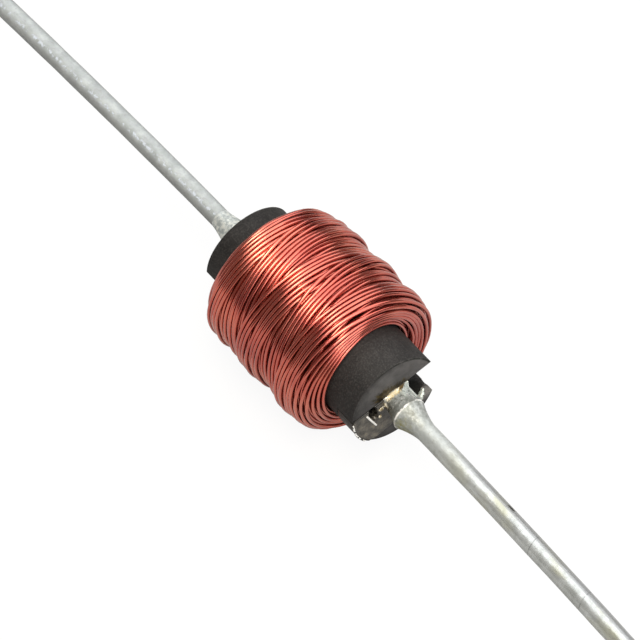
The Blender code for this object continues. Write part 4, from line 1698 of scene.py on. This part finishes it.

# %% [markdown]
# The layers follow the way it happened, with the painted light among them: grey solder with its
# flecks and the painted sheen on the neck, then the painted shade beside it, the lip's painted
# highlight and the far film, then the chalk of the rear and the lead's own tone up the cone, then
# flux, gold with its painted shine, the drops with their glints, and the painted white glints. What
# is painted white is made less metallic, because metal would mirror something dark there.

# %% Solder finish
def solder_look():
    """Bright in the slot, where flux tints it golden, and as dull as the lead up the cone, with a painted
    sheen, painted shade and painted glints.
    """
    material, tree, shader = new_material("solder")
    place = object_place(tree)
    patches = noise(tree, place, 0.00028, detail=5.0)
    flecks = noise(tree, place, 0.00013, detail=4.0)
    x = along_axes(tree, place)["X"]
    from_middle = apart(tree, x, 0.0)
    lively = span(tree, from_middle, HALF_ROD + 0.0006, HALF_ROD + 0.0011, 1.0, 0.35)
    at_rear = span(tree, x, -0.001, 0.001, 0.75, 0.0)
    collar = span(tree, x, -HALF_ROD - 0.00018, -HALF_ROD - 0.00006, 0.0, 0.9)
    lead_tone = mix(tree, span(tree, at_rear, 0.0, 0.75, 0.0, 1.0), FRONT_LEAD_TONE, REAR_LEAD_TONE)
    # Painted highlight: a thin white line round the front cone's rim, broken by noise.
    rim_highlight_breaks = span(tree, patches, 0.42, 0.54, 0.1, 0.9)
    rim_highlight = product(tree, span(tree, apart(tree, x, RIM_X), 0.00002, 0.00006, 1.0, 0.0), rim_highlight_breaks)
    stains = (NECK_SHEEN, GOLDEN_FLUX_AND_SHINE, SPILL_SHINE, MOUTH_SHINE, DROPS, PEARL)
    neck, flux_and_shine, spill, mouth, drops, pearl = (slot_spot(tree, place, *stain) for stain in stains)
    drops = greatest(tree, drops, pearl)
    old_flux = product(tree, slot_spot(tree, place, *OLD_FLUX), span(tree, flecks, 0.42, 0.56, 0.25, 0.9))
    colour = layered(
        tree,
        ramp(tree, patches, SOLDER_TONES),
        # Painted sheen on the neck's lit side.
        (product(tree, neck, 0.80), NECK_SHEEN_COLOUR),
        (product(tree, span(tree, flecks, 0.56, 0.66, 0.0, 0.7), lively), LIGHT_FLECK),
        (product(tree, span(tree, flecks, 0.44, 0.35, 0.0, 0.8), lively), DARK_FLECK),
        # Painted brown shade on the neck's left side.
        (product(tree, slot_spot(tree, place, *NECK_LEFT_SHADE), 0.88), NECK_LEFT_SHADE_COLOUR),
        # Painted highlight on the lip.
        (product(tree, slot_spot(tree, place, *LIP_SHINE), 0.9), LIP_SHINE_COLOUR),
        (product(tree, slot_spot(tree, place, *FAR_FILM), 0.8), FAR_FILM_COLOUR),
        (at_rear, ramp(tree, flecks, CHALK)),
        (joined(tree, "MINIMUM", collar, at_rear), COLLAR_COLOUR),
        (span(tree, from_middle, 0.0059, 0.0068, 0.0, 0.95), lead_tone),
        (old_flux, OLD_FLUX_COLOUR),
        # Golden flux with a painted shine.
        (flux_and_shine, ramp(tree, patches, GOLD_AND_SHINE_TONES)),
        (slot_spot(tree, place, *BRONZE), BRONZE_COLOUR),
        # Cream drops, with painted glints in their palest parts.
        (drops, ramp(tree, flecks, CREAM_AND_GLINT_TONES)),
        # Painted glints on the spill and the slot's left mouth, and a painted highlight on the cone's rim.
        (spill, PAINTED_GLINT_WHITE),
        (mouth, ramp(tree, noise(tree, place, 0.00022, detail=1.0), GLINT_DASHES)),
        (rim_highlight, PAINTED_GLINT_WHITE),
    )
    unmetal = greatest(tree, spill, drops, mouth, rim_highlight, flux_and_shine, product(tree, neck, 0.4))
    dull = span(tree, from_middle, HALF_ROD + 0.0004, HALF_ROD + 0.0009, 0.22, 0.52)
    give_all(tree, shader, {
        "Base Color": colour,
        "Metallic": span(tree, unmetal, 0.0, 1.0, 0.55, 0.1),
        "Roughness": joined(tree, "ADD", dull, span(tree, patches, 0.3, 0.7, 0.06, -0.04)),
    })
    bump(tree, shader, joined(tree, "ADD", patches, flecks), 0.00003, 0.5)
    return material


solder = solder_look()
add_piece("front_solder_joint", front_joint, solder, ["front_solder"])
add_piece("rear_solder_joint", rear_joint, solder, ["rear_solder"])

# %% [markdown]
# Flux and resin have run into the left half of the front slot and set there, dark and smooth, with
# one open bubble. A little cement shows round the foot of each lead's bore. The fill is made like
# the foot, from a block that is carried into the slot, because both take the slot's form; the
# bubble is then pressed into its skin.

# %% The resin's shape
RESIN_GRAIN = 0.00003
RESIN_CUTS = 14
RESIN_TOP = HALF_ROD + 0.00003
RESIN_OVER_WALL = 0.00010
RESIN_RIGHT = -0.00040
RESIN_OUTSIDE = ((-0.0013, 0.00004), (-0.0006, 0.00002), (0.0005, 0.00001))
BUBBLE_AT = (-0.00099, 0.00014)
BUBBLE_SIZE = (0.00017, 0.00034)
BUBBLE_DEPTH = 0.00055
BUBBLE_LIP = 1.25
BUBBLE_WALL = 0.35


def resin_place(up, across_share, along_share):
    """The resin in the slot's left half: to the foot of the solder, and flush with the rod outside."""
    over = RESIN_OVER_WALL * (up > 0.99)
    low, high = FAR_WALL - over, NEAR_WALL + over / 2
    across = low + across_share * (high - low)
    outside = float(np.interp(across, *zip(*RESIN_OUTSIDE)))
    mouth = -math.sqrt((ROD_RADIUS + outside) ** 2 - across ** 2)
    along = mouth + along_share * (RESIN_RIGHT - mouth)
    return in_slot(1, SLOT_FLOOR + SLOT_SKIN + up * (RESIN_TOP - SLOT_FLOOR), along, across)


def resin_fill():
    mesh = remeshed("slot_resin", block(RESIN_CUTS, resin_place), RESIN_GRAIN, 5)
    for corner in mesh.vertices:
        away = corner.co - ROD_MIDDLE
        off_along = (away.dot(SLOT_ALONG) - BUBBLE_AT[0]) / BUBBLE_SIZE[0]
        off_across = (away.dot(SLOT_ACROSS) - BUBBLE_AT[1]) / BUBBLE_SIZE[1]
        off = math.hypot(off_along, off_across)
        if away.x > SLOT_FLOOR + BUBBLE_DEPTH / 2 and off < BUBBLE_LIP:
            corner.co.x -= BUBBLE_DEPTH * min((BUBBLE_LIP - off) / BUBBLE_WALL, 1)
    return mesh


resin_mesh = resin_fill()

# %% [markdown]
# Set resin is a dark gloss with paler crumbs in it. A coat gives the gloss. It fades inside the
# bubble and on the outer side, which are dull. The outer side and one patch are also darker, the
# bubble is painted black as shade and the crease at the near wall gets painted shade. The cement
# sleeves of the model get the same finish, so that the two browns in the slot match.

# %% Resin finish
RESIN_TONES = (
    (0.34, (0.028, 0.025, 0.020)),
    (0.50, (0.075, 0.068, 0.056)),
    (0.62, (0.135, 0.12, 0.095)),
    (0.74, (0.30, 0.26, 0.18)),
)
# Painted shade in the bubble and at the near wall's crease, then a darker patch and outer side.
BUBBLE_PIT_SHADE = (HALF_ROD, BUBBLE_AT, (0.0009, *(1.15 * size for size in BUBBLE_SIZE)), 0.12, 0.15)
PIT_SHADE_COLOUR = (0.003, 0.003, 0.003)
DARKER_PATCH = (HALF_ROD, (-0.00066, -0.00016), (0.0003, 0.00030, 0.00048), 0.3, 0.4)
DARKER_PATCH_COLOUR = (0.018, 0.014, 0.008)
WALL_CREASE_SHADE = (HALF_ROD, (-0.00120, NEAR_WALL + 0.00004), (0.0004, 0.00110, 0.00009), 0.2)
DARK_OUTSIDE_AND_CREASE_SHADE_COLOUR = (0.022, 0.020, 0.018)


def resin_look():
    """Dark set resin with paler crumbs, a darker patch and outer side, and painted shade: black inside the
    open bubble and along the near wall's crease.
    """
    material, tree, shader = new_material("set_resin")
    place = object_place(tree)
    patches = noise(tree, place, 0.00026, detail=5.0, roughness=0.65)
    pit_shade, darker_patch, crease_shade = (slot_spot(tree, place, *stain) for stain in (BUBBLE_PIT_SHADE, DARKER_PATCH, WALL_CREASE_SHADE))
    outside = span(tree, from_axis(tree, place), 0.965, 0.985, 0.0, 1.0)
    plain = greatest(tree, pit_shade, product(tree, outside, 0.8))
    colour = layered(
        tree,
        ramp(tree, patches, RESIN_TONES),
        # A darker patch beside the solder's foot.
        (product(tree, darker_patch, 0.75), DARKER_PATCH_COLOUR),
        # Darker on the outer side, and painted shade in the crease at the near wall.
        (greatest(tree, outside, crease_shade), DARK_OUTSIDE_AND_CREASE_SHADE_COLOUR),
        # Painted shade: black inside the bubble.
        (pit_shade, PIT_SHADE_COLOUR),
    )
    give_all(tree, shader, {
        "Base Color": colour,
        "Roughness": span(tree, patches, 0.3, 0.7, 0.45, 0.25),
        "Coat Weight": span(tree, plain, 0.0, 1.0, 0.35, 0.0),
        "Coat Roughness": 0.15,
        "Specular IOR Level": span(tree, plain, 0.0, 1.0, 0.5, 0.05),
    })
    bump(tree, shader, patches, 0.00004, 0.6)
    return material


resin = resin_look()
add_piece("slot_resin", resin_mesh, resin)
for side in ("front", "rear"):
    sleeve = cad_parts[side + "_cement"].data
    sleeve.materials.clear()
    sleeve.materials.append(resin)
